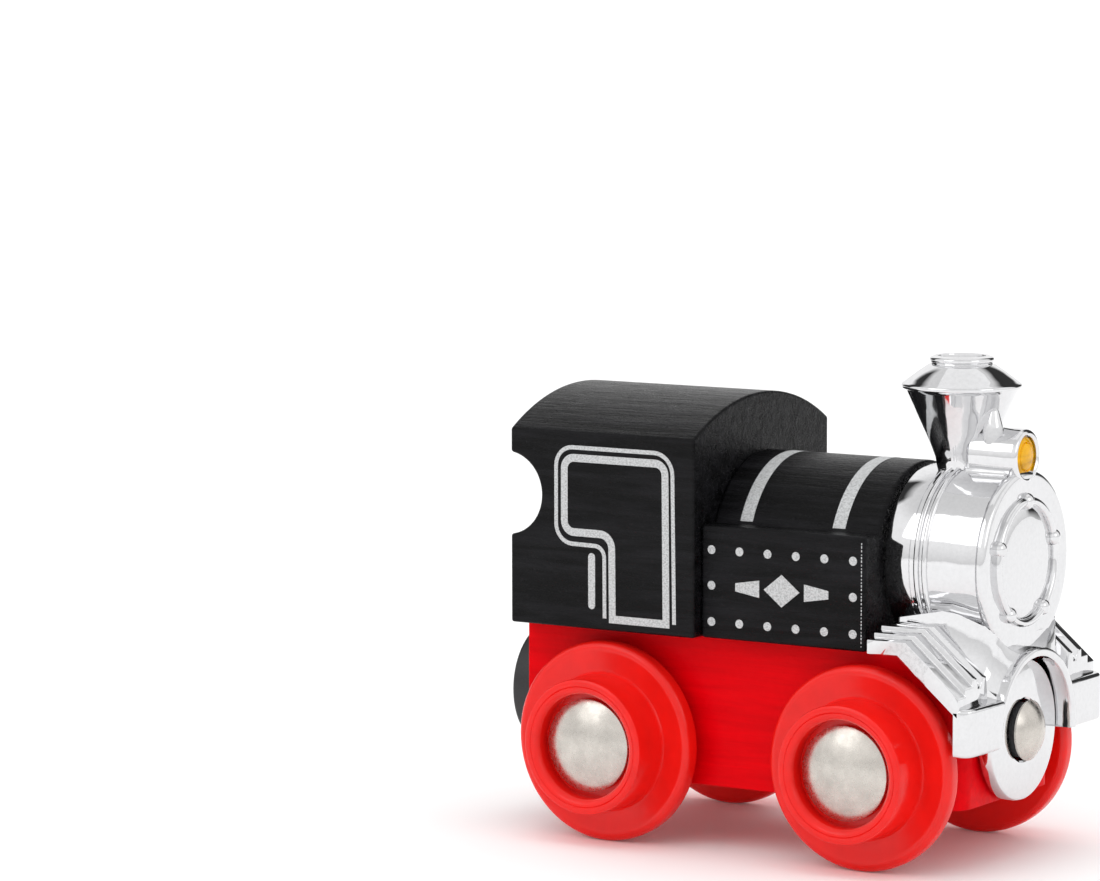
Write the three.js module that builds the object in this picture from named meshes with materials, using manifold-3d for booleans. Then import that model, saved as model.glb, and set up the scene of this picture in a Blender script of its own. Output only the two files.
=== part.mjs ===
import * as THREE from 'three';
import { mergeVertices } from 'three/addons/utils/BufferGeometryUtils.js';
import Module from 'manifold-3d';

// Wooden push-along toy steam engine with magnetic couplings, millimetres, +Z up.
// +X points to the chimney end. X = 0 is over the rear axle until the last lines
// centre the model over its own footprint; Z = 0 is the ground under the wheels.

// ---------------------------------------------------------------- driving sizes

// running gear
const wheelbase = 29;
const wheelRadius = 10;
const wheelDiscWidth = 2.1;
const wheelEdgeRound = 0.7;
const wheelDish = 0.4;
const hubRadius = 6.8;
const hubBevel = 0.3;
const hubRecessRadius = 5.1;
const hubRecessDepth = 2;
const widthOverHubs = 33.8;
const axleRadius = 1.5;
const hubCapRadius = 4.2;
const hubCapRim = 0.2;
const hubCapRise = 1.6;
const hubCapBoreDepth = 0.9;

// clearances
const runningClearance = 0.15;
const pressClearance = 0.15;
const seatGap = 0.1;
const fitGap = 0.3;
const wheelSideGap = 1;
const wheelTopGap = 1.1;

// chassis
const chassisWidth = 19.8;
const chassisBelowAxle = 3.8;
const chassisRearBeyondWheel = 0.7;
const chassisNoseInsideWheel = 0.67;
const noseCornerRadius = 2.5;

// cab
const cabLength = 21.37;
const cabWidth = 26.3;
const cabWallHeight = 19.5;
const roofRise = 3.66;
const notchRadius = 4.15;
const notchDepth = 3.6;
const notchHeight = 13;

// boiler and side tanks
const tankWidth = 24;
const tankHeight = 11.15;
const boilerRadius = 10.2;
const boilerAxisHeight = 7.2;

// smokebox with its door and headlamp
const smokeboxRadius = 8.95;
const smokeboxAxisHeight = 8.2;
const smokeboxLength = 10.75;
const smokeboxBeyondNose = 1.87;
const smokeboxWall = 1.5;
const spigotRadius = 4;
const spigotLength = 6;
const beadRadius = 0.3;
const beadOffsets = [3.55, 4.4];
const grooveDepth = 0.2;
const doorFlangeWidth = 0.8;
const doorRingRadius = 5.9;
const doorRingRise = 0.45;
const doorBossRadius = 0.8;
const doorBossCount = 5;
const lampRadius = 2.7;
const lampAxisAboveSmokebox = 1.25;
const lampProud = 0.1;
const lampBracketWidth = 3.6;
const lensRadius = 1.95;
const lensRecess = 1;
const lensDome = 0.45;
const lensShoulder = 0.7;
const ventRadius = 1;
const ventHeight = 2;
const ventSetback = 3.1;
const ventSide = -1.4;
const lampBracketSetback = 0.85;

// chimney
const chimneyFromSmokeboxRear = 3.55;
const chimneySpigotRadius = 1.5;
const chimneySpigotLength = 1.8;
const chimneyFootRadius = 2.4;
const chimneyNeckRadius = 3.06;
const chimneyNeckHeight = 1.55;
const chimneyWideRadius = 5.86;
const chimneyWideHeight = 7.55;
const chimneyRimRadius = 2.95;
const chimneyHeight = 10.42;
const chimneyBoreRadius = 2.4;
const chimneyBoreDepth = 5.5;

// pilot deck: stepped running boards, slope, buffer beam and coupling arch
const deckWidth = 28.4;
const boardThickness = 1.4;
const boardAboveChassis = 0.4;
const boardFromSmokeboxRear = 1.1;
const stepWidth = 1.4;
const stepRise = 0.5;
const stepCount = 3;
const slopeAngle = THREE.MathUtils.degToRad(43.5);
const slopeWheelGap = 1.88;
const saddleFoot = 0.9;
const saddleHeight = 2.6;
const saddleTaper = 1;
const bufferDepth = 1.8;
const bufferWheelGap = 0.9;
const bufferBelowCoupling = 0.7;
const bufferHeight = 4.7;
const bufferLedge = 1.2;
const bufferCornerRadius = 1.4;
const archWall = 0.95;

// couplings
const couplingAboveAxle = 3;
const couplingPlateRadius = 6.9;
const couplingPlateThickness = 1.45;
const magnetRadius = 2.7;
const magnetLength = 3.5;
const magnetProud = 0.3;
const magnetCapRadius = 2.95;
const magnetCapRim = 0.25;
const magnetCapRise = 1.15;
const pinRadius = 0.8;
const pinHeadRadius = 1.6;
const pinHeadThickness = 0.35;
const pinGrip = 6;
const rearHousingRadius = 6.2;
const rearHousingLength = 4.3;
const rearHousingWall = 0.8;
const rearHousingFloor = 1;
const rearDishWall = 0.6;
const rearDishProud = 0.3;
const rearMagnetLength = 2.3;

// fixings
const screwRadius = 1.2;
const screwHeadRadius = 2.2;
const screwHeadHeight = 1.3;
const screwHeadSunk = 0.6;
const screwEngagement = 3.2;
const dowelRadius = 1.5;
const dowelLength = 10;
const dowelHeight = 11.9;

// facets
const wheelFacets = 32;
const drumFacets = 36;
const smallFacets = 20;
const chimneyFacets = 32;
const ventFacets = 12;
const ringSteps = 4;
const bossFacets = [8, 6];

// ---------------------------------------------------------------- places worked out

const axleHeight = wheelRadius;
const chassisBottom = axleHeight - chassisBelowAxle;
const chassisTop = 2 * wheelRadius + wheelTopGap;
const chassisRear = -wheelRadius - chassisRearBeyondWheel;
const chassisNose = wheelbase + wheelRadius - chassisNoseInsideWheel;
const blockSeat = chassisTop + seatGap;

const cabRear = chassisRear;
const cabFront = cabRear + cabLength;
const smokeboxFront = chassisNose + smokeboxBeyondNose;
const smokeboxRear = smokeboxFront - smokeboxLength;
const boilerRear = cabFront + seatGap;
const boilerFront = smokeboxRear - fitGap;
const boilerAxis = blockSeat + boilerAxisHeight;
const smokeboxAxis = blockSeat + smokeboxAxisHeight;
const smokeboxTop = smokeboxAxis + smokeboxRadius;
const smokeboxFlat = chassisTop + boardAboveChassis + saddleFoot;
const lampAxis = smokeboxTop + lampAxisAboveSmokebox;
const lampFront = smokeboxFront + lampProud;
const chimneyX = smokeboxRear + chimneyFromSmokeboxRear;
const chimneySeat = smokeboxTop + fitGap;

const discInner = chassisWidth / 2 + wheelSideGap;
const discOuter = discInner + wheelDiscWidth;
const hubFace = widthOverHubs / 2;
const hubRecessFloor = hubFace - hubRecessDepth;
const hubCapBack = hubRecessFloor + fitGap;

const couplingAxis = axleHeight + couplingAboveAxle;
const plateRear = chassisNose + fitGap;
const plateFront = plateRear + couplingPlateThickness;
const frontMagnetFace = plateFront + magnetProud;
const rearHousingBack = chassisRear - fitGap;
const rearHousingMouth = rearHousingBack - rearHousingLength;
const rearMagnetFace = rearHousingMouth - rearDishProud;
const capDepth = magnetCapRim + magnetCapRise;
const frontTip = frontMagnetFace + seatGap + capDepth;
const rearTip = rearMagnetFace - seatGap - capDepth;

// ---------------------------------------------------------------- solids

const manifoldLib = await Module();
manifoldLib.setup();

// A closed three.js geometry as a manifold solid that can be cut and joined.
function toSolid(geometry) {
  const bare = geometry.clone();
  bare.deleteAttribute('normal');
  bare.deleteAttribute('uv');
  const merged = mergeVertices(bare, 1e-5);
  const triangles = [];
  for (let i = 0; i < merged.index.count; i += 3) {
    const [a, b, c] = [0, 1, 2].map((k) => merged.index.getX(i + k));
    if (a !== b && b !== c && c !== a) triangles.push(a, b, c);
  }
  return new manifoldLib.Manifold(new manifoldLib.Mesh({
    numProp: 3,
    vertProperties: new Float32Array(merged.attributes.position.array),
    triVerts: new Uint32Array(triangles),
  }));
}

function toGeometry(solid) {
  const mesh = solid.getMesh();
  const geometry = new THREE.BufferGeometry();
  geometry.setAttribute('position', new THREE.BufferAttribute(mesh.vertProperties, 3));
  geometry.setIndex(new THREE.BufferAttribute(mesh.triVerts, 1));
  geometry.computeVertexNormals();
  return geometry;
}

const unitX = new THREE.Vector3(1, 0, 0);
const unitY = new THREE.Vector3(0, 1, 0);
const unitZ = new THREE.Vector3(0, 0, 1);
const sideways = new THREE.Matrix4().makeBasis(unitX, unitZ, unitY.clone().negate());
const lengthways = new THREE.Matrix4().makeBasis(unitY, unitZ, unitX);

// A turned solid: points are [radius, distance along the axis], the axis is X, Y or Z.
function turned(points, axis, facets = smallFacets) {
  const outline = points.map(([radius, along]) => new THREE.Vector2(radius, along));
  if (outline[0].x > 0) outline.push(outline[0].clone());
  const geometry = new THREE.LatheGeometry(outline, facets);
  if (axis === 'x') geometry.rotateZ(-Math.PI / 2);
  if (axis === 'z') geometry.rotateX(Math.PI / 2);
  return toSolid(geometry);
}

function rod(radius, from, to, axis, facets = smallFacets) {
  return turned([[0, from], [radius, from], [radius, to], [0, to]], axis, facets);
}

function extruded(shape, depth) {
  return new THREE.ExtrudeGeometry(shape, { depth, bevelEnabled: false, curveSegments: 12 });
}

// A side outline in X and Z, as wide as given and centred on Y = 0.
function acrossWidth(shape, width) {
  const geometry = extruded(shape, width).applyMatrix4(sideways);
  return toSolid(geometry.translate(0, width / 2, 0));
}

// An end outline in Y and Z, running along X.
function alongLength(shape, from, to) {
  const geometry = extruded(shape, to - from).applyMatrix4(lengthways);
  return toSolid(geometry.translate(from, 0, 0));
}

function box(x0, x1, y0, y1, z0, z1) {
  const geometry = new THREE.BoxGeometry(x1 - x0, y1 - y0, z1 - z0);
  return toSolid(geometry.translate((x0 + x1) / 2, (y0 + y1) / 2, (z0 + z1) / 2));
}

function polygon(points) {
  return new THREE.Shape(points.map(([a, b]) => new THREE.Vector2(a, b)));
}

// Points on a quarter or other arc of an outline, angles in degrees.
function arc(a, b, radius, from, to, steps = 3) {
  return Array.from({ length: steps + 1 }, (_, i) => {
    const angle = THREE.MathUtils.degToRad(from + (to - from) * i / steps);
    return [a + radius * Math.cos(angle), b + radius * Math.sin(angle)];
  });
}

// ---------------------------------------------------------------- model

const finishes = {
  redWood: { color: 0xc81414, roughness: 0.45, metalness: 0 },
  blackWood: { color: 0x222225, roughness: 0.5, metalness: 0 },
  bareWood: { color: 0xcaa472, roughness: 0.8, metalness: 0 },
  redPlastic: { color: 0xe02218, roughness: 0.3, metalness: 0 },
  blackPlastic: { color: 0x151516, roughness: 0.3, metalness: 0 },
  plated: { color: 0xe6e6e8, roughness: 0.08, metalness: 1 },
  steel: { color: 0xb9b6ae, roughness: 0.3, metalness: 1 },
  ferrite: { color: 0x26262a, roughness: 0.6, metalness: 0.2 },
  amber: { color: 0xf5b400, roughness: 0.15, metalness: 0 },
};
const materials = Object.fromEntries(Object.entries(finishes).map(
  ([name, finish]) => [name, new THREE.MeshStandardMaterial(finish)],
));

const model = new THREE.Group();

function addPart(name, solid, finish, place = [0, 0, 0], turn = 0) {
  const mesh = new THREE.Mesh(toGeometry(solid), materials[finish]);
  mesh.name = name;
  mesh.position.set(...place);
  mesh.rotation.z = turn;
  model.add(mesh);
}

// Where the two body screws stand: under the cab and under the boiler.
const rearScrewX = (axleRadius + cabFront) / 2;
const frontScrewX = (boilerRear + boilerFront) / 2;
const screwTip = blockSeat + screwEngagement;

function screwHole(x, from, to) {
  return rod(screwRadius + pressClearance, from, to, 'z').translate(x, 0, 0);
}

function makeChassis() {
  const half = chassisWidth / 2;
  const corner = noseCornerRadius;
  const plan = new THREE.Shape();
  plan.moveTo(chassisRear, -half);
  plan.lineTo(chassisNose - corner, -half);
  plan.absarc(chassisNose - corner, -half + corner, corner, -Math.PI / 2, 0);
  plan.lineTo(chassisNose, half - corner);
  plan.absarc(chassisNose - corner, half - corner, corner, 0, Math.PI / 2);
  plan.lineTo(chassisRear, half);
  const blank = toSolid(extruded(plan, chassisTop - chassisBottom).translate(0, 0, chassisBottom));

  const slack = wheelRadius;
  const noseCut = acrossWidth(polygon([
    [slopeUndersideX(chassisTop + slack) - fitGap, chassisTop + slack],
    [slopeUndersideX(chassisBottom) - fitGap, chassisBottom],
    [slopeUndersideX(chassisBottom) + slack, chassisTop + slack],
  ]), chassisWidth + slack);

  const bore = rod(axleRadius + runningClearance, -chassisWidth, chassisWidth, 'y');
  const pocketDepth = magnetLength - couplingPlateThickness;
  const pocketEnd = chassisNose - pocketDepth;
  const pinHole = pinRadius + pressClearance;
  const magnetPocket = rod(magnetRadius + fitGap, pocketEnd, chassisNose + slack, 'x');
  const frontPinHole = rod(pinHole, pocketEnd - pinGrip, chassisNose, 'x');
  const rearPinHole = rod(pinHole, chassisRear - slack, chassisRear + pinGrip, 'x');
  const headSeat = chassisBottom + screwHeadSunk + screwHeadHeight;
  const headPocket = rod(screwHeadRadius + fitGap, chassisBottom - slack, headSeat, 'z');
  let solid = blank.subtract(noseCut)
    .subtract(bore.translate(0, 0, axleHeight))
    .subtract(bore.translate(wheelbase, 0, axleHeight));
  for (const hole of [magnetPocket, frontPinHole, rearPinHole]) {
    solid = solid.subtract(hole.translate(0, 0, couplingAxis));
  }
  for (const x of [rearScrewX, frontScrewX]) {
    solid = solid.subtract(headPocket.translate(x, 0, 0))
      .subtract(screwHole(x, chassisBottom - slack, chassisTop + slack));
  }
  return solid;
}

function makeCab() {
  const half = cabWidth / 2;
  const eaves = blockSeat + cabWallHeight;
  const roofRadius = (half * half + roofRise * roofRise) / (2 * roofRise);
  const roofCentre = eaves + roofRise - roofRadius;
  const halfAngle = Math.asin(half / roofRadius);
  const end = new THREE.Shape();
  end.moveTo(-half, blockSeat);
  end.lineTo(half, blockSeat);
  end.lineTo(half, eaves);
  end.absarc(0, roofCentre, roofRadius, Math.PI / 2 - halfAngle, Math.PI / 2 + halfAngle);
  const notch = rod(notchRadius, -cabWidth, cabWidth, 'y', drumFacets)
    .translate(cabRear + notchDepth - notchRadius, 0, blockSeat + notchHeight);
  return alongLength(end, cabRear, cabFront)
    .subtract(notch)
    .subtract(dowelHole())
    .subtract(screwHole(rearScrewX, blockSeat - seatGap, screwTip + fitGap));
}

function dowelHole() {
  const reach = dowelLength / 2 + fitGap;
  return rod(dowelRadius + pressClearance, cabFront - reach, cabFront + reach, 'x')
    .translate(0, 0, blockSeat + dowelHeight);
}

function makeBoiler() {
  const half = tankWidth / 2;
  const tankTop = blockSeat + tankHeight;
  const springing = Math.asin((tankTop - boilerAxis) / boilerRadius);
  const end = new THREE.Shape();
  end.moveTo(-half, blockSeat);
  end.lineTo(half, blockSeat);
  end.lineTo(half, tankTop);
  end.absarc(0, boilerAxis, boilerRadius, springing, Math.PI - springing);
  end.lineTo(-half, tankTop);
  const spigotHole = rod(
    spigotRadius + pressClearance, boilerFront - spigotLength, boilerFront + fitGap, 'x',
  );
  return alongLength(end, boilerRear, boilerFront)
    .subtract(spigotHole.translate(0, 0, smokeboxAxis))
    .subtract(dowelHole())
    .subtract(screwHole(frontScrewX, blockSeat - seatGap, screwTip + fitGap));
}

// The drum with its two bead rings, door groove, flange and raised door ring.
function smokeboxDrum() {
  const r = smokeboxRadius;
  const face = smokeboxFront;
  const flange = face - doorFlangeWidth;
  const inside = face - smokeboxWall;
  const beads = beadOffsets.flatMap((offset) => arc(r, smokeboxRear + offset, beadRadius, -90, 90));
  const ring = arc(doorRingRadius, face, doorRingRise, 0, 180, ringSteps);
  return turned([
    [0, boilerFront - spigotLength + fitGap],
    [spigotRadius, boilerFront - spigotLength + fitGap],
    [spigotRadius, inside],
    [r - smokeboxWall, inside],
    [r - smokeboxWall, smokeboxRear],
    [r, smokeboxRear],
    ...beads,
    [r, flange - grooveDepth],
    [r - grooveDepth, flange - grooveDepth],
    [r - grooveDepth, flange],
    ...arc(r - doorFlangeWidth + grooveDepth, face - doorFlangeWidth, doorFlangeWidth, 0, 90),
    ...ring,
    [0, face],
  ], 'x', drumFacets);
}

function makeSmokebox() {
  let solid = smokeboxDrum();
  const boss = toSolid(new THREE.SphereGeometry(doorBossRadius, ...bossFacets));
  for (let i = 0; i < doorBossCount; i += 1) {
    const angle = Math.PI / 2 + i * 2 * Math.PI / doorBossCount;
    const y = doorRingRadius * Math.cos(angle);
    const z = doorRingRadius * Math.sin(angle);
    solid = solid.add(boss.translate(smokeboxFront, y, z));
  }
  solid = solid.translate(0, 0, smokeboxAxis);

  const lamp = rod(lampRadius, chimneyX, lampFront, 'x').translate(0, 0, lampAxis);
  const bracket = box(
    chimneyX + chimneyNeckRadius + fitGap, lampFront - lampBracketSetback,
    -lampBracketWidth / 2, lampBracketWidth / 2, smokeboxTop - smokeboxWall, lampAxis,
  );
  const vent = rod(ventRadius, lampAxis, lampAxis + lampRadius + ventHeight, 'z', ventFacets)
    .translate(lampFront - ventSetback, ventSide, 0);
  const lensSeat = rod(lensRadius + fitGap, lampFront - lensRecess, lampFront + fitGap, 'x')
    .translate(0, 0, lampAxis);
  const base = box(
    smokeboxRear - fitGap, smokeboxFront + smokeboxRadius, -smokeboxRadius, smokeboxRadius,
    chassisBottom, smokeboxFlat + fitGap,
  );
  const outerDrum = rod(smokeboxRadius - smokeboxWall / 2, chimneyX, smokeboxFront, 'x', drumFacets)
    .translate(0, 0, smokeboxAxis);
  const lampGroup = lamp.add(bracket).add(vent).subtract(outerDrum).subtract(lensSeat)
    .subtract(chimneyBody(fitGap));
  return solid.subtract(lensSeat).add(lampGroup)
    .subtract(base)
    .subtract(rod(chimneySpigotRadius + pressClearance, smokeboxAxis, chimneySeat, 'z')
      .translate(chimneyX, 0, 0));
}

// The diamond stack without its spigot and bore, grown all round by the given gap.
function chimneyBody(grow) {
  const wide = chimneyWideRadius + grow;
  return turned([
    [0, chimneySeat - grow],
    [chimneyFootRadius + grow, chimneySeat - grow],
    [chimneyNeckRadius + grow, chimneySeat + chimneyNeckHeight],
    [wide, chimneySeat + chimneyWideHeight],
    [chimneyRimRadius + grow, chimneySeat + chimneyHeight - grooveDepth],
    [chimneyRimRadius + grow - grooveDepth, chimneySeat + chimneyHeight],
    [0, chimneySeat + chimneyHeight],
  ], 'z', chimneyFacets).translate(chimneyX, 0, 0);
}

function makeChimney() {
  const top = chimneySeat + chimneyHeight;
  const bore = rod(chimneyBoreRadius, top - chimneyBoreDepth, top + fitGap, 'z');
  const spigotFoot = chimneySeat - chimneySpigotLength;
  const spigot = rod(chimneySpigotRadius, spigotFoot, chimneySeat + seatGap, 'z');
  return chimneyBody(0)
    .subtract(bore.translate(chimneyX, 0, 0))
    .add(spigot.translate(chimneyX, 0, 0));
}

function makeLens() {
  const back = lampFront - lensRecess + fitGap;
  return turned([
    [0, back],
    [lensRadius, back],
    [lensRadius, lampFront - lensDome],
    [lensRadius * lensShoulder, lampFront - lensDome / 3],
    [0, lampFront],
  ], 'x').translate(0, 0, lampAxis);
}

// X of the sloping plate's underside at a height, clear of the front wheel all round.
function slopeUndersideX(z) {
  const reach = wheelRadius + slopeWheelGap;
  return wheelbase + (reach - (z - axleHeight) * Math.cos(slopeAngle)) / Math.sin(slopeAngle);
}

function makePilotDeck() {
  const boardRear = smokeboxRear + boardFromSmokeboxRear;
  const underside = chassisTop + boardAboveChassis;
  const bufferRear = wheelbase + wheelRadius + bufferWheelGap;
  const bufferFront = bufferRear + bufferDepth;
  const bufferBottom = couplingAxis - bufferBelowCoupling;
  const bufferTop = bufferBottom + bufferHeight;
  const slopeFront = bufferFront - bufferLedge;
  const slopeFoot = bufferBottom - boardThickness;
  const plateShift = boardThickness * Math.tan(slopeAngle / 2);
  const beyondSlope = box(
    slopeFront, slopeFront + deckWidth, -deckWidth, deckWidth,
    slopeFoot - deckWidth, underside + deckWidth,
  );
  let solid = null;
  for (let step = 0; step < stepCount; step += 1) {
    const top = underside + boardThickness + step * stepRise;
    const bend = slopeUndersideX(underside) + plateShift + step * stepRise;
    const outline = polygon([
      [boardRear, underside],
      [slopeUndersideX(underside), underside],
      [slopeUndersideX(slopeFoot), slopeFoot],
      [bend + (top - slopeFoot) / Math.tan(slopeAngle), slopeFoot],
      [bend, top],
      [boardRear, top],
    ]);
    const board = acrossWidth(outline, deckWidth - 2 * step * stepWidth).subtract(beyondSlope);
    solid = solid ? solid.add(board) : board;
  }

  const half = deckWidth / 2;
  const corner = bufferCornerRadius;
  const beamPlan = new THREE.Shape();
  beamPlan.moveTo(bufferRear, -half);
  beamPlan.lineTo(bufferFront - corner, -half);
  beamPlan.absarc(bufferFront - corner, -half + corner, corner, -Math.PI / 2, 0);
  beamPlan.lineTo(bufferFront, half - corner);
  beamPlan.absarc(bufferFront - corner, half - corner, corner, 0, Math.PI / 2);
  beamPlan.lineTo(bufferRear, half);
  const beam = toSolid(extruded(beamPlan, bufferTop - bufferBottom).translate(0, 0, bufferBottom));

  const saddleHalf = smokeboxRadius;
  const saddle = alongLength(polygon([
    [-saddleHalf, underside],
    [saddleHalf, underside],
    [saddleHalf - saddleTaper, underside + boardThickness + saddleHeight],
    [-saddleHalf + saddleTaper, underside + boardThickness + saddleHeight],
  ]), boardRear, smokeboxFront - doorFlangeWidth);

  const archRadius = couplingPlateRadius + fitGap;
  const arch = rod(archRadius + archWall, plateRear, bufferFront, 'x', drumFacets)
    .translate(0, 0, couplingAxis);
  const opening = rod(archRadius, chassisNose - wheelRadius, bufferFront + fitGap, 'x', drumFacets)
    .translate(0, 0, couplingAxis)
    .add(box(chassisNose, bufferFront + fitGap, -archRadius, archRadius, 0, couplingAxis));
  const belowBeam = box(chassisNose, bufferFront + fitGap, -half, half, 0, bufferBottom);
  const drumRoomRadius = smokeboxRadius + beadRadius + fitGap;
  const drumRoom = rod(drumRoomRadius, boardRear - fitGap, bufferFront + fitGap, 'x', drumFacets)
    .translate(0, 0, smokeboxAxis)
    .subtract(box(boardRear - half, bufferFront + half, -half, half, 0, smokeboxFlat));
  const lowSlope = acrossWidth(polygon([
    [slopeUndersideX(underside), underside],
    [slopeUndersideX(slopeFoot), slopeFoot],
    [boardRear, slopeFoot],
    [boardRear, underside],
  ]), chassisWidth + 2 * fitGap);
  return solid.add(beam).add(saddle).add(arch)
    .subtract(belowBeam)
    .subtract(opening)
    .subtract(drumRoom)
    .subtract(lowSlope);
}

function makeWheel() {
  const round = wheelEdgeRound;
  return turned([
    [axleRadius + runningClearance, discInner],
    ...arc(wheelRadius - round, discInner + round, round, -90, 0, 3),
    ...arc(wheelRadius - round, discOuter - round, round, 0, 90, 3),
    [hubRadius + round, discOuter - wheelDish],
    [hubRadius, discOuter],
    [hubRadius, hubFace - hubBevel],
    [hubRadius - hubBevel, hubFace],
    [hubRecessRadius + hubBevel, hubFace],
    [hubRecessRadius, hubFace - hubBevel],
    [hubRecessRadius, hubRecessFloor],
    [axleRadius + runningClearance, hubRecessFloor],
  ], 'y', wheelFacets);
}

function makeAxle() {
  const end = hubCapBack + hubCapBoreDepth - seatGap;
  return rod(axleRadius, -end, end, 'y');
}

// A shallow domed button along +X or +Y, closed at the back except for a round recess.
function domedButton(radius, rim, rise, recessRadius, recessDepth, back, axis) {
  const sphere = (radius * radius + rise * rise) / (2 * rise);
  const halfAngle = THREE.MathUtils.radToDeg(Math.asin(radius / sphere));
  const dome = arc(0, back + rim + rise - sphere, sphere, 90 - halfAngle, 90, 4);
  return turned([
    [0, back + recessDepth],
    [recessRadius, back + recessDepth],
    [recessRadius, back],
    [radius, back],
    ...dome.slice(0, -1),
    [0, back + rim + rise],
  ], axis);
}

function makeScrew(x) {
  const seat = chassisBottom + screwHeadSunk;
  return turned([
    [0, seat],
    [screwHeadRadius, seat],
    [screwRadius, seat + screwHeadHeight],
    [screwRadius, screwTip - screwRadius],
    [0, screwTip],
  ], 'z').translate(x, 0, 0);
}

// A headed pin along +X: the shank starts at `from`, the head ends at `to`.
function headedPin(from, to) {
  return turned([
    [0, from],
    [pinRadius, from],
    [pinRadius, to - pinHeadThickness],
    [pinHeadRadius, to - pinHeadThickness],
    [pinHeadRadius, to],
    [0, to],
  ], 'x');
}

function ringMagnet(back, face) {
  const bore = pinRadius + pressClearance;
  return turned([[bore, back], [magnetRadius, back], [magnetRadius, face], [bore, face]], 'x');
}

const headRoom = pinHeadThickness + 2 * seatGap;
const pinTop = headRoom + seatGap / 2;

// Solids for a coupling are made facing +X from X = 0 and are turned round for the rear.
const pinHeadRecess = pinHeadRadius + pressClearance;
const magnetCap = domedButton(
  magnetCapRadius, magnetCapRim, magnetCapRise, pinHeadRecess, headRoom, seatGap, 'x',
);

addPart('chassis', makeChassis(), 'redWood');
addPart('cab', makeCab(), 'blackWood');
addPart('boiler', makeBoiler(), 'blackWood');
addPart('cab_boiler_dowel', rod(dowelRadius, -dowelLength / 2, dowelLength / 2, 'x'), 'bareWood',
  [cabFront, 0, blockSeat + dowelHeight]);
addPart('smokebox', makeSmokebox(), 'plated');
addPart('chimney', makeChimney(), 'plated');
addPart('headlamp_lens', makeLens(), 'amber');
addPart('pilot_deck', makePilotDeck(), 'plated');
addPart('body_screw_rear', makeScrew(rearScrewX), 'steel');
addPart('body_screw_front', makeScrew(frontScrewX), 'steel');

const plateHole = rod(magnetRadius + fitGap, plateRear - fitGap, plateFront + fitGap, 'x');
const plate = rod(couplingPlateRadius, plateRear, plateFront, 'x', drumFacets)
  .subtract(plateHole);
addPart('front_coupling_plate', plate, 'plated', [0, 0, couplingAxis]);
const frontPlace = [frontMagnetFace, 0, couplingAxis];
const frontPinTail = -magnetLength - pinGrip + fitGap;
addPart('front_magnet', ringMagnet(-magnetLength + fitGap, 0), 'ferrite', frontPlace);
addPart('front_magnet_cap', magnetCap, 'steel', frontPlace);
addPart('front_coupling_pin', headedPin(frontPinTail, pinTop), 'steel', frontPlace);

const housing = turned([
  [pinRadius + pressClearance, 0],
  [rearHousingRadius, 0],
  ...arc(rearHousingRadius - rearHousingWall / 2, rearHousingLength - rearHousingWall / 2,
    rearHousingWall / 2, 0, 180),
  [rearHousingRadius - rearHousingWall, rearHousingFloor],
  [pinRadius + pressClearance, rearHousingFloor],
], 'x', drumFacets);
const housingPlace = [rearHousingBack, 0, couplingAxis];
addPart('rear_coupling_housing', housing, 'blackPlastic', housingPlace, Math.PI);

const dishRadius = rearHousingRadius - rearHousingWall - fitGap;
const dishBack = rearHousingFloor + seatGap;
const dishFront = rearHousingLength + rearDishProud;
const dish = turned([
  [pinRadius + pressClearance, dishBack],
  [dishRadius, dishBack],
  [dishRadius, dishFront],
  [dishRadius - rearDishWall, dishFront],
  [magnetRadius + fitGap, dishBack + rearDishWall],
  [pinRadius + pressClearance, dishBack + rearDishWall],
], 'x', drumFacets);
addPart('rear_coupling_dish', dish, 'steel', housingPlace, Math.PI);

const rearPlace = [rearMagnetFace, 0, couplingAxis];
const rearPinTail = -rearHousingLength - rearDishProud - pinGrip;
addPart('rear_magnet', ringMagnet(-rearMagnetLength, 0), 'ferrite', rearPlace, Math.PI);
addPart('rear_magnet_cap', magnetCap, 'steel', rearPlace, Math.PI);
addPart('rear_coupling_pin', headedPin(rearPinTail, pinTop), 'steel', rearPlace, Math.PI);

const wheel = makeWheel();
const axle = makeAxle();
const hubCapBore = axleRadius + pressClearance;
const hubCap = domedButton(
  hubCapRadius, hubCapRim, hubCapRise, hubCapBore, hubCapBoreDepth, hubCapBack, 'y',
);
for (const [end, axleX] of [['rear', 0], ['front', wheelbase]]) {
  addPart(`${end}_axle`, axle, 'steel', [axleX, 0, axleHeight]);
  for (const [side, turn] of [['left', 0], ['right', Math.PI]]) {
    addPart(`${end}_${side}_wheel`, wheel, 'redPlastic', [axleX, 0, axleHeight], turn);
    addPart(`${end}_${side}_hub_cap`, hubCap, 'steel', [axleX, 0, axleHeight], turn);
  }
}

model.position.x = -(frontTip + rearTip) / 2;

const group = new THREE.Group();
group.add(model);
export default group;
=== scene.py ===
"""Builds the visible surfaces of a wooden push-along toy steam engine around its CAD frame."""
import math

import bmesh
import bpy
from bpy.props import FloatProperty, FloatVectorProperty, PointerProperty
from bpy.types import Operator, Panel, PropertyGroup
from mathutils import Matrix, Vector


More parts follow.
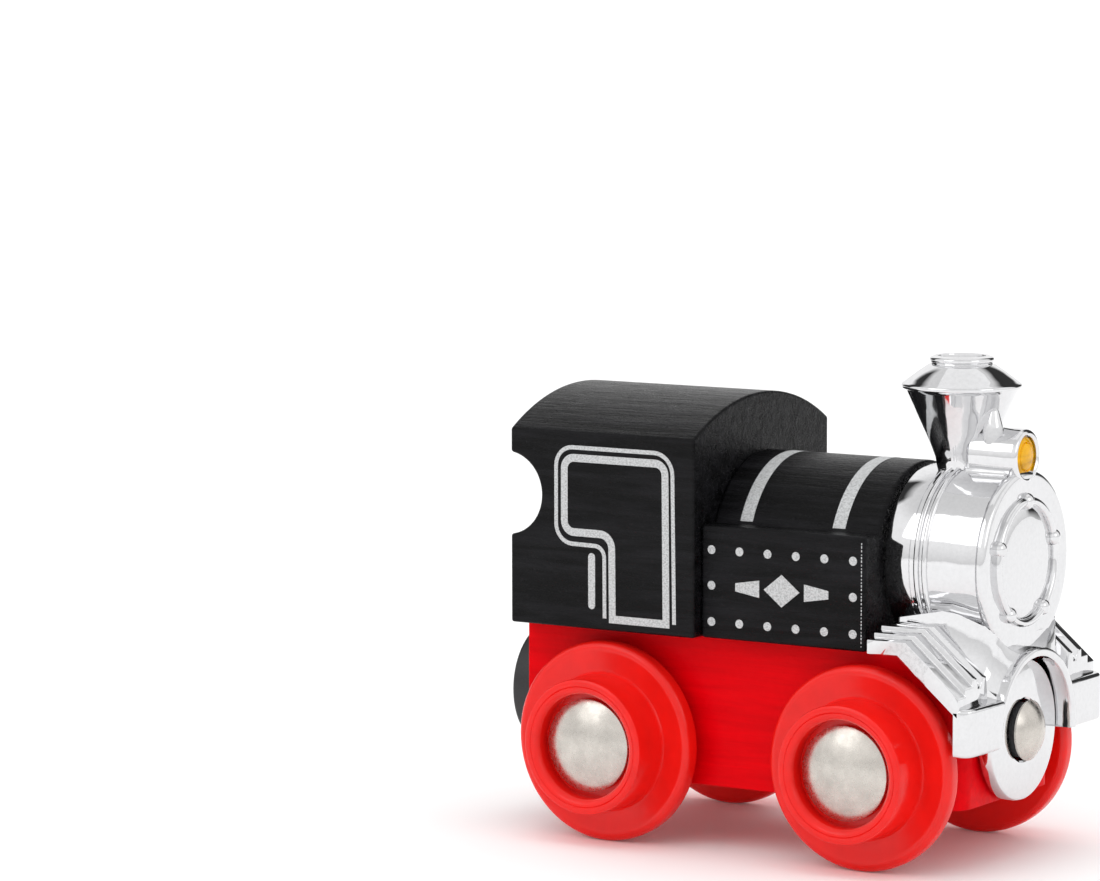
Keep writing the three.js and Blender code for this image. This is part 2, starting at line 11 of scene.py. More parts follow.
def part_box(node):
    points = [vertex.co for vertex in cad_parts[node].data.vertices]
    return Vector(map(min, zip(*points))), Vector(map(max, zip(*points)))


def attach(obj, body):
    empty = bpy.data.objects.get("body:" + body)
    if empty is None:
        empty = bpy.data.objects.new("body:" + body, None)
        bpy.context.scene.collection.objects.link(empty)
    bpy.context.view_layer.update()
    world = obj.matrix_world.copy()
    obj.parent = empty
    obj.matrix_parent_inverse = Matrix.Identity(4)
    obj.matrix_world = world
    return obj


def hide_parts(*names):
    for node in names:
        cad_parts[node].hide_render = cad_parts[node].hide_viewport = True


bl_info = {
    "name": "Wooden Toy Steam Engine",
    "version": (1, 0, 0),
    "blender": (4, 5, 0),
    "location": "View3D > Sidebar > Toy Engine",
    "description": "Builds the painted, plated and printed pieces of a toy steam engine",
    "category": "Object",
}

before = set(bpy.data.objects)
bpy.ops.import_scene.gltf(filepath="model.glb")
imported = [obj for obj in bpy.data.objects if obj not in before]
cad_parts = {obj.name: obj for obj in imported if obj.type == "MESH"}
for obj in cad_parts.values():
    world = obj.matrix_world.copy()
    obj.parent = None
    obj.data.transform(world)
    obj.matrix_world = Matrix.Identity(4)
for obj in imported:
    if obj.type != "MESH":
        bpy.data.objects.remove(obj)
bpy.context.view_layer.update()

MM = 0.001
X, Y, Z = Vector((1, 0, 0)), Vector((0, 1, 0)), Vector((0, 0, 1))
SIDES = {"right": -1, "left": 1}
ENDS = {"rear": -1, "front": 1}
FINE, SMALL = 96, 48  # steps in a full turn of a large and of a small round piece
WHITE = (1.0, 1.0, 1.0)
INK = "silver_ink"


# ------------------------------------------------------------------ places from the frame

def box_mm(node):
    """Lowest and highest corner of a CAD node in millimetres."""
    low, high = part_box(node)
    return low / MM, high / MM


def middle(node, keep=(1, 1, 1)):
    """Centre of a CAD node in millimetres, with 0 for the directions that aren't kept."""
    low, high = box_mm(node)
    return (low + high) / 2 * Vector(keep)


def reach(node, direction):
    """Nearest and furthest distance of a CAD node from the middle, along X (0) or Y (1)."""
    low, high = box_mm(node)
    return sorted((abs(low[direction]), abs(high[direction])))


CHASSIS_LOW, CHASSIS_HIGH = box_mm("chassis")
CAB_LOW, CAB_HIGH = box_mm("cab")
BOILER_LOW, BOILER_HIGH = box_mm("boiler")
DECK_LOW, DECK_HIGH = box_mm("pilot_deck")
PLATE_LOW, PLATE_HIGH = box_mm("front_coupling_plate")
LENS_LOW, LENS_HIGH = box_mm("headlamp_lens")
SMOKEBOX_HIGH = box_mm("smokebox")[1]
CHIMNEY_HIGH = box_mm("chimney")[1]
AXLE = {end: middle(f"{end}_axle", (1, 0, 1)) for end in ENDS}
CHIMNEY = middle("chimney", (1, 0, 0))
LAMP = middle("headlamp_lens", (0, 0, 1))
COUPLING = middle("front_coupling_plate", (0, 0, 1))
AXLE_HOLE = 1.65
SLOPE = math.radians(43.5)


def deck_underside_x(z):
    """X of the sloping plate's underside at a height: it clears the front wheel all round."""
    wheel_room = AXLE["front"].z + 1.88
    above = z - AXLE["front"].z
    return AXLE["front"].x + (wheel_room - above * math.cos(SLOPE)) / math.sin(SLOPE)


def drum_centre(sizes):
    """The smokebox drum's axis, below the headlamp's."""
    return LAMP - Z * (sizes.lamp_height + sizes.drum_radius)


# ------------------------------------------------------------------ sizes and finishes

def size(name, default, description):
    """A length in millimetres that a user may change."""
    return FloatProperty(name=name, description=description, default=default, min=0, precision=3)


def angle(name, default, description):
    return FloatProperty(
        name=name, description=description, default=math.radians(default), subtype="ANGLE"
    )


def colour(name, default, description):
    return FloatVectorProperty(
        name=name, description=description, default=default, subtype="COLOR", size=3, min=0, max=1
    )


class ToyEngineSizes(PropertyGroup):
    """Detail sizes in millimetres; the main sizes come from the frame."""

    wood_edge: size("Wood edge", 0.55, "Rounding along the edges of the cab")
    tank_edge: size("Tank edge", 0.35, "Rounding along the edges of the side tanks")
    chassis_edge: size("Chassis edge", 0.4, "Rounding along the edges of the chassis block")
    cab_wall: size("Cab wall", 19.5, "Height of the cab wall up to the eaves")
    notch_radius: size("Notch radius", 4.15, "Radius of the round notch behind the cab")
    notch_depth: size("Notch depth", 3.6, "How far the notch reaches into the cab")
    notch_height: size("Notch height", 13.0, "Height of the notch above the cab floor")
    boiler_radius: size("Boiler radius", 10.2, "Radius of the boiler barrel")
    tank_height: size("Tank height", 11.15, "Height of the side tanks")
    drum_radius: size("Drum radius", 8.95, "Radius of the plated smokebox drum")
    drum_length: size("Drum length", 10.75, "Length of the visible smokebox drum")
    lamp_height: size("Lamp height", 1.25, "Height of the headlamp's axis above the drum")
    door_ring: size("Door ring", 5.9, "Radius of the raised ring on the smokebox door")
    print_lift: size("Print lift", 0.02, "How far the silver print stands proud")
    broad_line: size("Broad line", 0.78, "Width of the broad window line")
    fine_line: size("Fine line", 0.42, "Width of the fine border line")
    rivet: size("Rivet dot", 0.875, "Diameter of a printed rivet dot")
    band: size("Boiler band", 1.4, "Width of a printed boiler band")
    wheel_edge: size("Wheel edge", 0.7, "Rounding of the wheel's rolling edge")
    hub_radius: size("Hub radius", 6.8, "Outer radius of the raised wheel hub")
    hub_recess: size("Hub recess", 5.25, "Radius of the recess around a hub cap")
    hub_cap: size("Hub cap", 4.6, "Radius of a domed hub cap")
    hub_recess_depth: size("Hub recess depth", 2.0, "Depth of the recess around a hub cap")
    disc_width: size("Disc width", 2.1, "Width of the wheel disc at its edge")


class ToyEngineFinishes(PropertyGroup):
    """Linear colours of the paints, plastics, metals and print."""

    red_paint: colour("Red paint", (0.78, 0.0, 0.004), "Lacquer on the chassis")
    red_plastic: colour("Red plastic", (0.85, 0.010, 0.007), "Moulded wheels")
    black_paint: colour("Black paint", (0.0040, 0.0039, 0.0046), "Paint on the cab and boiler")
    silver_ink: colour("Silver ink", (0.57, 0.58, 0.585), "Printed lines, bands and rivets")
    plating: colour("Plating", (0.74, 0.74, 0.75), "Bright plating on plastic")
    nickel: colour("Nickel", (0.60, 0.565, 0.52), "Satin hub caps")
    steel: colour("Steel", (0.60, 0.59, 0.57), "Axles, screws and pins")
    amber: colour("Amber", (0.80, 0.38, 0.0), "Headlamp lens")
    bare_wood: colour("Bare wood", (0.58, 0.38, 0.20), "Dowel")
    ferrite: colour("Ferrite", (0.03, 0.03, 0.032), "Ring magnets")
    black_plastic: colour("Black plastic", (0.010, 0.010, 0.011), "Rear coupling housing")


class ToyEngineView(PropertyGroup):
    """Where the camera stands."""

    azimuth: angle("Azimuth", 32.99, "Camera's turn from the engine's right side")
    elevation: angle("Elevation", 6.28, "Camera's height above the horizon")
    roll: angle("Roll", -0.1, "Camera's turn about its own axis")
    distance: FloatProperty(
        name="Distance", description="Camera to target", default=0.49089, unit="LENGTH"
    )
    target: FloatVectorProperty(
        name="Target", description="Point that the camera looks at",
        default=(-0.02694, 0.0, 0.03798), subtype="XYZ", unit="LENGTH", size=3,
    )
    lens: FloatProperty(name="Lens", description="Focal length in mm", default=156.9)


# ------------------------------------------------------------------ materials

class NodeTree:
    """The nodes of a material or of the world, with short ways to add to them."""

    def __init__(self, owner):
        owner.use_nodes = True
        self.tree = owner.node_tree

    def feed(self, socket, value):
        """Links an input to another node, or sets it to a number, a vector or a colour."""
        if isinstance(value, bpy.types.NodeSocket):
            self.tree.links.new(value, socket)
        elif socket.type == "RGBA":
            socket.default_value = (*value, 1.0)
        else:
            socket.default_value = value

    def node(self, kind, inputs, **settings):
        """A new node; inputs gives what to feed to each input's name or number."""
        made = self.tree.nodes.new(kind)
        for name, value in settings.items():
            setattr(made, name, value)
        for socket, value in inputs.items():
            self.feed(made.inputs[socket], value)
        return made

    def ranged(self, value, low, high, to_low=0.0, to_high=1.0):
        """Moves a value's range from low and high to new ends, and holds it there."""
        return self.node("ShaderNodeMapRange", {
            "Value": value, "From Min": low, "From Max": high, "To Min": to_low, "To Max": to_high,
        }).outputs["Result"]

    def mixed(self, factor, first, second):
        """A colour between two colours."""
        inputs = {0: factor, 6: first, 7: second}
        return self.node("ShaderNodeMix", inputs, data_type="RGBA").outputs[2]

    def maths(self, operation, *values):
        return self.node("ShaderNodeMath", dict(enumerate(values)), operation=operation).outputs[0]

    def ramp(self, value, stops):
        """Greys that change along a value; stops are pairs of place and grey."""
        made = self.node("ShaderNodeValToRGB", {"Fac": value})
        elements = made.color_ramp.elements
        elements[0].position, elements[1].position = stops[0][0], stops[-1][0]
        for position, _ in stops[1:-1]:
            elements.new(position)
        for element, (_, grey) in zip(elements, stops):
            element.color = (grey, grey, grey, 1)
        return made.outputs["Color"]


class Finish(NodeTree):
    """A Principled material whose patterns read Object coordinates in millimetres."""

    def __init__(self, name):
        self.material = bpy.data.materials.new(f"{name}_finish")
        super().__init__(self.material)
        self.shader = self.tree.nodes["Principled BSDF"]
        self.place = self.node("ShaderNodeTexCoord", {}).outputs["Object"]
        self.normal = None

    def set(self, **sockets):
        """Feeds the shader; an input's name has underscores for its spaces."""
        for name, value in sockets.items():
            self.feed(self.shader.inputs[name.replace("_", " ")], value)

    def noise(self, scale, detail=4.0, roughness=0.55, distortion=0.0):
        """A soft pattern with this many cycles per millimetre along each axis."""
        mapping = self.node("ShaderNodeMapping", {
            "Vector": self.place, "Scale": [cycles / MM for cycles in scale],
        })
        return self.node("ShaderNodeTexNoise", {
            "Vector": mapping.outputs["Vector"], "Scale": 1.0, "Detail": detail,
            "Roughness": roughness, "Distortion": distortion,
        }).outputs["Fac"]

    def colour(self, pattern, low, high, first, second, share=1.0):
        """Goes from the first colour towards the second as a pattern goes from low to high."""
        self.set(Base_Color=self.mixed(self.ranged(pattern, low, high, 0.0, share), first, second))

    def roughness(self, pattern, low, high):
        self.set(Roughness=self.ranged(pattern, 0.3, 0.7, low, high))

    def bump(self, height, strength, distance):
        """Adds relief over any earlier relief; distance is its depth in millimetres."""
        inputs = {"Height": height, "Strength": strength, "Distance": distance * MM}
        if self.normal:
            inputs["Normal"] = self.normal
        self.normal = self.node("ShaderNodeBump", inputs).outputs["Normal"]
        self.set(Normal=self.normal)


def shade(tone, factor):
    return tuple(min(1.0, channel * factor) for channel in tone)


def black_painted_wood(finish, tone):
    """Satin black paint with grain that runs along the engine and small pale specks."""
    finish.set(Specular_IOR_Level=0.11)
    grain = finish.noise((0.07, 0.8, 0.8), detail=8.0, roughness=0.68, distortion=0.5)
    pores = finish.noise((0.4, 2.4, 2.4), detail=6.0, roughness=0.75)
    specks = finish.noise((1.5, 2.2, 2.2), detail=3.0, roughness=0.7)
    lifted = finish.mixed(finish.ranged(grain, 0.42, 0.64), shade(tone, 0.45), shade(tone, 2.2))
    finish.colour(specks, 0.58, 0.72, lifted, shade(tone, 4.0), share=0.45)
    finish.roughness(pores, 0.2, 0.38)
    finish.bump(grain, 0.8, 0.3)
    finish.bump(pores, 0.8, 0.08)


def red_painted_wood(finish, tone):
    """Satin red lacquer over a fine lengthways grain."""
    finish.set(Specular_IOR_Level=0.05)
    grain = finish.noise((0.06, 0.7, 0.7), detail=7.0, roughness=0.62, distortion=0.3)
    finish.colour(grain, 0.4, 0.64, shade(tone, 0.9), shade(tone, 1.06))
    finish.roughness(finish.noise((0.5, 0.5, 0.5), detail=3.0), 0.28, 0.42)
    finish.bump(grain, 0.6, 0.1)
    finish.bump(finish.noise((1.6, 1.6, 1.6)), 0.6, 0.07)


def red_plastic(finish, tone):
    """Glossy moulded plastic with a faint skin texture and light handling marks."""
    finish.set(Specular_IOR_Level=0.34, Subsurface_Weight=0.06)
    finish.set(Subsurface_Radius=(0.0015, 0.0004, 0.0003))
    mottle = finish.noise((0.35, 0.35, 0.35), detail=3.0)
    skin = finish.noise((3.5, 3.5, 3.5), roughness=0.6)
    finish.colour(mottle, 0.3, 0.7, shade(tone, 0.93), shade(tone, 1.05))
    finish.roughness(skin, 0.18, 0.25)
    finish.bump(skin, 0.12, 0.01)
    finish.bump(mottle, 0.4, 0.08)


def plated_plastic(finish, tone):
    """Bright vacuum plating with soft moulding ripples and a few dull specks."""
    finish.set(Metallic=1.0)
    specks = finish.noise((2.4, 2.4, 2.4), detail=3.0, roughness=0.6)
    finish.colour(specks, 0.35, 0.75, shade(tone, 1.0), shade(tone, 0.93))
    finish.roughness(specks, 0.03, 0.08)
    finish.bump(finish.noise((0.22, 0.22, 0.22), detail=2.0, roughness=0.4), 0.35, 0.3)


def turned_metal(finish, tone, roughness, marks_scale):
    """Satin metal with fine turning marks and soft dull patches."""
    finish.set(Metallic=1.0)
    marks = finish.noise((marks_scale, marks_scale, marks_scale), detail=6.0, roughness=0.7)
    dull = finish.noise((0.55, 0.55, 0.55), detail=5.0, roughness=0.65)
    finish.colour(dull, 0.35, 0.68, shade(tone, 1.06), shade(tone, 0.86))
    finish.roughness(marks, roughness * 0.7, roughness * 1.4)
    finish.bump(marks, 0.3, 0.015)
    finish.bump(dull, 0.25, 0.04)


def silver_ink(finish, tone):
    """Thin metallic ink with a fine speckle."""
    finish.set(Metallic=0.35)
    speckle = finish.noise((4.5, 6.0, 6.0), roughness=0.75)
    finish.colour(speckle, 0.38, 0.56, shade(tone, 0.62), shade(tone, 1.1))
    finish.roughness(speckle, 0.36, 0.6)
    finish.bump(speckle, 0.8, 0.06)


def amber_plastic(finish, tone):
    """Clear amber moulding over a bright back, with the light that comes back through it painted
    into its colour as soft brighter patches.
    """
    finish.set(Coat_Weight=0.12, Coat_Roughness=0.04, IOR=1.49, Specular_IOR_Level=0.2)
    # painted glow: the colour runs from dark amber to this bright amber in soft random patches, in
    # place of light coming back through the clear lens
    painted_glow_amber = (0.9, 0.46, 0.0)
    # depth is the pattern of the painted glow, and it also sets the roughness
    depth = finish.noise((0.35, 0.25, 0.55), detail=2.0, distortion=0.5)
    finish.colour(depth, 0.35, 0.65, shade(tone, 0.62), painted_glow_amber)
    finish.roughness(depth, 0.08, 0.16)
    finish.bump(finish.noise((1.2, 1.2, 1.2), detail=2.0), 0.15, 0.02)


def bare_wood(finish, tone):
    """Unpainted beech with small pores."""
    grain = finish.noise((0.12, 1.6, 1.6), detail=7.0, roughness=0.6)
    finish.colour(grain, 0.35, 0.7, shade(tone, 0.78), shade(tone, 1.12))
    finish.roughness(grain, 0.6, 0.82)
    finish.bump(grain, 0.4, 0.05)


def matt_moulding(finish, tone, low, high):
    """Dark plastic or ferrite with a fine even grain."""
    grain = finish.noise((4.0, 4.0, 4.0), detail=5.0, roughness=0.65)
    finish.colour(grain, 0.35, 0.7, shade(tone, 0.8), shade(tone, 1.4))
    finish.roughness(grain, low, high)
    finish.bump(grain, 0.35, 0.02)


# finish: maker, its colour property and the maker's other values
FINISHES = {
    "black_painted_wood": (black_painted_wood, "black_paint"),
    "red_painted_wood": (red_painted_wood, "red_paint"),
    "red_plastic": (red_plastic, "red_plastic"),
    "plated_plastic": (plated_plastic, "plating"),
    INK: (silver_ink, "silver_ink"),
    "nickel": (turned_metal, "nickel", 0.26, 1.8),
    "steel": (turned_metal, "steel", 0.28, 3.0),
    "amber_plastic": (amber_plastic, "amber"),
    "bare_wood": (bare_wood, "bare_wood"),
    "ferrite": (matt_moulding, "ferrite", 0.5, 0.7),
    "black_plastic": (matt_moulding, "black_plastic", 0.28, 0.42),
}


def finish_of(context, name):
    """The material of that name, made once."""
    made = bpy.data.materials.get(f"{name}_finish")
    if not made:
        maker, tone, *values = FINISHES[name]
        finish = Finish(name)
        maker(finish, getattr(context.scene.toy_engine_finishes, tone), *values)
        made = finish.material
    return made


# ------------------------------------------------------------------ mesh helpers, in millimetres

def outline_face(bm, points, place):
    """One flat face through points; place turns a pair of numbers into a point."""
    return bm.faces.new([bm.verts.new(place(a, b)) for a, b in points])


def across(y):
    """Places (x, z) pairs on the plane at this y."""
    return lambda x, z: (x, y, z)


def along(x):
    """Places (y, z) pairs on the plane at this x."""
    return lambda y, z: (x, y, z)


def level(z):
    """Places (x, y) pairs on the plane at this z."""
    return lambda x, y: (x, y, z)


def rectangle(a0, b0, a1, b1):
    return [(a0, b0), (a1, b0), (a1, b1), (a0, b1)]


def arc(a, b, radius, start, end, steps):
    """Points on an arc about (a, b), angles in degrees."""
    angles = [math.radians(start + (end - start) * i / steps) for i in range(steps + 1)]
    return [(a + radius * math.cos(t), b + radius * math.sin(t)) for t in angles]


def rolled(distance, radius, bead, start, end, steps):
    """An arc in the profile of a turned piece, as (radius, distance along the axis) pairs."""
    return [(b, a) for a, b in arc(distance, radius, bead, start, end, steps)]


def crown(half, rise):
    """Radius of the arc over a flat base, and the angle from its top to its foot in degrees."""
    radius = (half * half + rise * rise) / (2 * rise)
    return radius, math.degrees(math.asin(half / radius))


def flat(points):
    """One face on the engine's middle plane, from (x, z) pairs."""
    bm = bmesh.new()
    outline_face(bm, points, across(0))
    return bm


def extrude(bm, faces, offset):
    """Extrudes faces into a closed solid and returns the new end faces."""
    made = bmesh.ops.extrude_face_region(bm, geom=list(faces))["geom"]
    verts = [g for g in made if isinstance(g, bmesh.types.BMVert)]
    bmesh.ops.translate(bm, verts=verts, vec=offset)
    return [g for g in made if isinstance(g, bmesh.types.BMFace)]


def bevel(bm, geometry, width, segments, affect="EDGES"):
    bmesh.ops.bevel(
        bm, geom=list(geometry), offset=width, segments=segments, profile=0.5,
        affect=affect, material=-1, clamp_overlap=True,
    )


def is_sharp(edge, degrees):
    return len(edge.link_faces) == 2 and edge.calc_face_angle(0) > math.radians(degrees)


def front_uprights(bm, x, y=0.0):
    """The upright edges at a front face, where they are further than y from the middle."""
    return [
        e for e in bm.edges
        if all(v.co.x > x - 0.1 and abs(v.co.y) > y for v in e.verts)
        and abs(e.verts[0].co.z - e.verts[1].co.z) > 1
    ]


def cut(bm, point, normal):
    """Removes what lies beyond a plane, on the side its normal points to, and closes the cut."""
    geometry = list(bm.verts) + list(bm.edges) + list(bm.faces)
    found = bmesh.ops.bisect_plane(
        bm, geom=geometry, plane_co=point, plane_no=normal, clear_outer=True
    )["geom_cut"]
    edges = [g for g in found if isinstance(g, bmesh.types.BMEdge)]
    bmesh.ops.triangle_fill(bm, edges=edges, use_beauty=True)


def closed(bm):
    """Merges doubles and turns every face outwards."""
    bmesh.ops.remove_doubles(bm, verts=bm.verts, dist=1e-4)
    bmesh.ops.recalc_face_normals(bm, faces=bm.faces)
    return bm


def prism(points, place, offset):
    """A closed solid from a flat outline."""
    bm = bmesh.new()
    extrude(bm, [outline_face(bm, points, place)], offset)
    return closed(bm)


def turned(profile, axis, centre, steps=FINE, sign=1):
    """A solid of revolution; the profile is (radius, distance along the axis times sign)."""
    bm = bmesh.new()
    side = Z if axis is X else X
    verts = [bm.verts.new(side * radius + axis * distance * sign) for radius, distance in profile]
    loop = list(zip(verts, verts[1:]))
    if profile[0][0] > 0:
        loop.append((verts[-1], verts[0]))
    edges = [bm.edges.new(pair) for pair in loop]
    bmesh.ops.spin(
        bm, geom=verts + edges, cent=(0, 0, 0), axis=axis, angle=math.tau, steps=steps,
        use_merge=True, use_duplicate=False,
    )
    bmesh.ops.translate(bm, verts=bm.verts, vec=centre)
    return closed(bm)


def rod(axis, radius, start, end, centre, edge=0.0, steps=SMALL):
    """A round bar between two distances along its axis, with its ends bevelled by edge."""
    side = [(radius, start), (radius, end)]
    if edge:
        side = [(radius - edge, start), (radius, start + edge),
                (radius, end - edge), (radius - edge, end)]
    return turned([(0, start), *side, (0, end)], axis, centre, steps)


def domed_button(radius, back, tip, recess_radius, recess_depth, rim):
    """Profile of a shallow domed button with a rolled rim and a recess in its back."""
    ball, swing = crown(radius, tip - back - rim)
    return [
        (0, back + recess_depth), (recess_radius, back + recess_depth), (recess_radius, back),
        (radius - 0.15, back), (radius - 0.03, back + 0.05),
        *rolled(tip - ball, 0, ball, swing, 0, 14)[:-1], (0, tip),
    ]


def block(low, high, edge=0.0):
    """A box between two corners with rounded edges."""
    bm = bmesh.new()
    low, high = Vector(low), Vector(high)
    bmesh.ops.create_cube(bm, size=1)
    bmesh.ops.scale(bm, verts=bm.verts, vec=high - low)
    bmesh.ops.translate(bm, verts=bm.verts, vec=(low + high) / 2)
    if edge:
        bevel(bm, bm.edges[:], edge, 3)
    return closed(bm)


def add(bm, other):
    """Joins another mesh's faces to this one."""
    mesh = bpy.data.meshes.new("joined")
    other.to_mesh(mesh)
    other.free()
    bm.from_mesh(mesh)
    bpy.data.meshes.remove(mesh)


def printed(bm, lift, offset):
    """Gives flat print its thickness, with its back just inside the wood, and does both sides."""
    sunk = 0.03
    bmesh.ops.recalc_face_normals(bm, faces=bm.faces)
    extrude(bm, bm.faces[:], Y * (-lift - sunk))
    bmesh.ops.translate(bm, verts=bm.verts, vec=offset + Y * sunk)
    copied = bmesh.ops.duplicate(bm, geom=bm.verts[:] + bm.edges[:] + bm.faces[:])["geom"]
    verts = [g for g in copied if isinstance(g, bmesh.types.BMVert)]
    bmesh.ops.scale(bm, verts=verts, vec=(1, -1, 1))
    return closed(bm)


def temporary(bm):
    """A plain object for a cutting job."""
    mesh = bpy.data.meshes.new("cutting")
    bm.to_mesh(mesh)
    bm.free()
    made = bpy.data.objects.new("cutting", mesh)
    bpy.context.scene.collection.objects.link(made)
    return made


def carved(bm, tools):
    """The shape with each tool cut away from it."""
    body = temporary(bm)
    cutters = [temporary(tool) for tool in tools]
    for cutter in cutters:
        modifier = body.modifiers.new("carve", "BOOLEAN")
        modifier.object = cutter
        modifier.operation = "DIFFERENCE"
        modifier.solver = "EXACT"
    bpy.context.view_layer.update()
    finished = body.evaluated_get(bpy.context.evaluated_depsgraph_get())
    mesh = bpy.data.meshes.new_from_object(finished)
    result = bmesh.new()
    result.from_mesh(mesh)
    bpy.data.meshes.remove(mesh)
    for made in [body, *cutters]:
        data = made.data
        bpy.data.objects.remove(made)
        bpy.data.meshes.remove(data)
    return closed(result)


def piece(context, name, bm, finish, replaces=(), body="engine_body",
          edge=0.0, segments=3, smooth=40):
    """Turns a millimetre mesh into a finished piece that rides on a body of the frame.

    Edges sharper than smooth degrees stay sharp, or are rounded where edge gives a width.
    """
    bmesh.ops.scale(bm, verts=bm.verts, vec=(MM, MM, MM))
    for f in bm.faces:
        f.smooth = True
    for e in bm.edges:
        e.smooth = bool(edge) or not is_sharp(e, smooth)
    mesh = bpy.data.meshes.new(name)
    bm.to_mesh(mesh)
    bm.free()
    made = bpy.data.objects.new(name, mesh)
    context.scene.collection.objects.link(made)
    mesh.materials.append(finish_of(context, finish))
    if edge:
        rounding = made.modifiers.new("edge_rounding", "BEVEL")
        rounding.width = edge * MM
        rounding.segments = segments
        rounding.limit_method = "ANGLE"
        rounding.angle_limit = math.radians(smooth)
        weighting = made.modifiers.new("even_shading", "WEIGHTED_NORMAL")
        weighting.keep_sharp = True
    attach(made, body)
    if replaces:
        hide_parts(*replaces)


# ------------------------------------------------------------------ operators

class TOYENGINE_OT_chassis(Operator):
    """Builds the red lacquered chassis block with its pockets"""

    bl_idname = "toyengine.chassis"
    bl_label = "Chassis"

    def execute(self, context):
        low, high = CHASSIS_LOW, CHASSIS_HIGH
        nose_round, slope_gap, over = 2.5, 0.3, 1.0
        screw_hole, screw_depth = 2.5, 1.9
        pin_hole, pin_depth = 3.0, 2.05
        bm = prism(rectangle(low.x, low.y, high.x, high.y), level(low.z), Z * (high.z - low.z))
        bevel(bm, front_uprights(bm, high.x), nose_round, 10)
        cut(bm, Vector((deck_underside_x(high.z) - slope_gap, 0, high.z)),
            Vector((math.sin(SLOPE), 0, math.cos(SLOPE))))
        closed(bm)
        tools = [rod(Y, AXLE_HOLE, low.y - over, high.y + over, AXLE[end]) for end in ENDS]
        for end in ENDS:
            place = middle(f"body_screw_{end}", (1, 1, 0))
            tools.append(rod(Z, screw_hole, low.z - over, low.z + screw_depth, place))
        tools.append(rod(X, pin_hole, high.x - pin_depth, high.x + over, COUPLING))
        sizes = context.scene.toy_engine_sizes
        piece(context, "chassis_block", carved(bm, tools), "red_painted_wood", ["chassis"],
              edge=sizes.chassis_edge)
        return {"FINISHED"}


class TOYENGINE_OT_cab(Operator):
    """Builds the black cab block with its arched roof and round rear notch"""

    bl_idname = "toyengine.cab"
    bl_label = "Cab"

    def execute(self, context):
        sizes = context.scene.toy_engine_sizes
        low, high = CAB_LOW, CAB_HIGH
        half = high.y
        radius, swing = crown(half, high.z - low.z - sizes.cab_wall)
        roof = arc(0, high.z - radius, radius, 90 - swing, 90 + swing, 40)
        bm = prism([(-half, low.z), (half, low.z), *roof], along(low.x), X * (high.x - low.x))
        centre = Vector((
            low.x + sizes.notch_depth - sizes.notch_radius, 0, low.z + sizes.notch_height,
        ))
        notch = rod(Y, sizes.notch_radius, -half - 2, half + 2, centre, steps=FINE)
        piece(context, "cab_block", carved(bm, [notch]), "black_painted_wood", ["cab"],
              edge=sizes.wood_edge, segments=4)
        self.add_print(context, sizes)
        return {"FINISHED"}

    def add_print(self, context, sizes):
        """The window frame: a fine open border, a broad closed line and a short dash.

        The outlines are (x, z) from the cab's low rear corner, and the roundings give the
        radius at each rounded corner.
        """
        border = [
            (10.88, 0.0), (10.83, 8.12), (5.2, 8.2), (5.2, 18.2), (19.1, 18.2), (19.36, 0.0),
        ]
        border_rounding = {1: 0.9, 2: 2.1, 3: 2.1, 4: 2.3}
        border_foot = 1.2
        window = [
            (11.6, 0.78), (18.6, 0.78), (18.45, 17.34), (5.98, 17.34), (5.98, 9.16), (11.52, 9.16),
        ]
        window_rounding = {2: 1.5, 3: 1.5, 4: 1.5, 5: 1.0}
        dash_x, dash_half, dash_foot, dash_head = 9.57, 0.4, 2.4, 7.2
        bm = self.line(border, border_rounding, sizes.fine_line)
        cut(bm, Z * border_foot, -Z)
        add(bm, self.line(window, window_rounding, sizes.broad_line))
        add(bm, flat([
            *arc(dash_x, dash_foot, dash_half, 180, 360, 8),
            *arc(dash_x, dash_head, dash_half, 0, 180, 8),
        ]))
        piece(context, "cab_window_print", printed(bm, sizes.print_lift, CAB_LOW), INK)

    def line(self, points, rounding, width):
        """A flat strip that follows a closed outline with rounded corners."""
        bm = bmesh.new()
        corners = list(outline_face(bm, points, across(0)).verts)
        for index, radius in rounding.items():
            bevel(bm, [corners[index]], radius, 8, "VERTICES")
        inner = bm.faces[:]
        bmesh.ops.inset_region(
            bm, faces=inner, thickness=width, use_even_offset=True, use_boundary=True
        )
        bmesh.ops.delete(bm, geom=inner, context="FACES")
        return bm


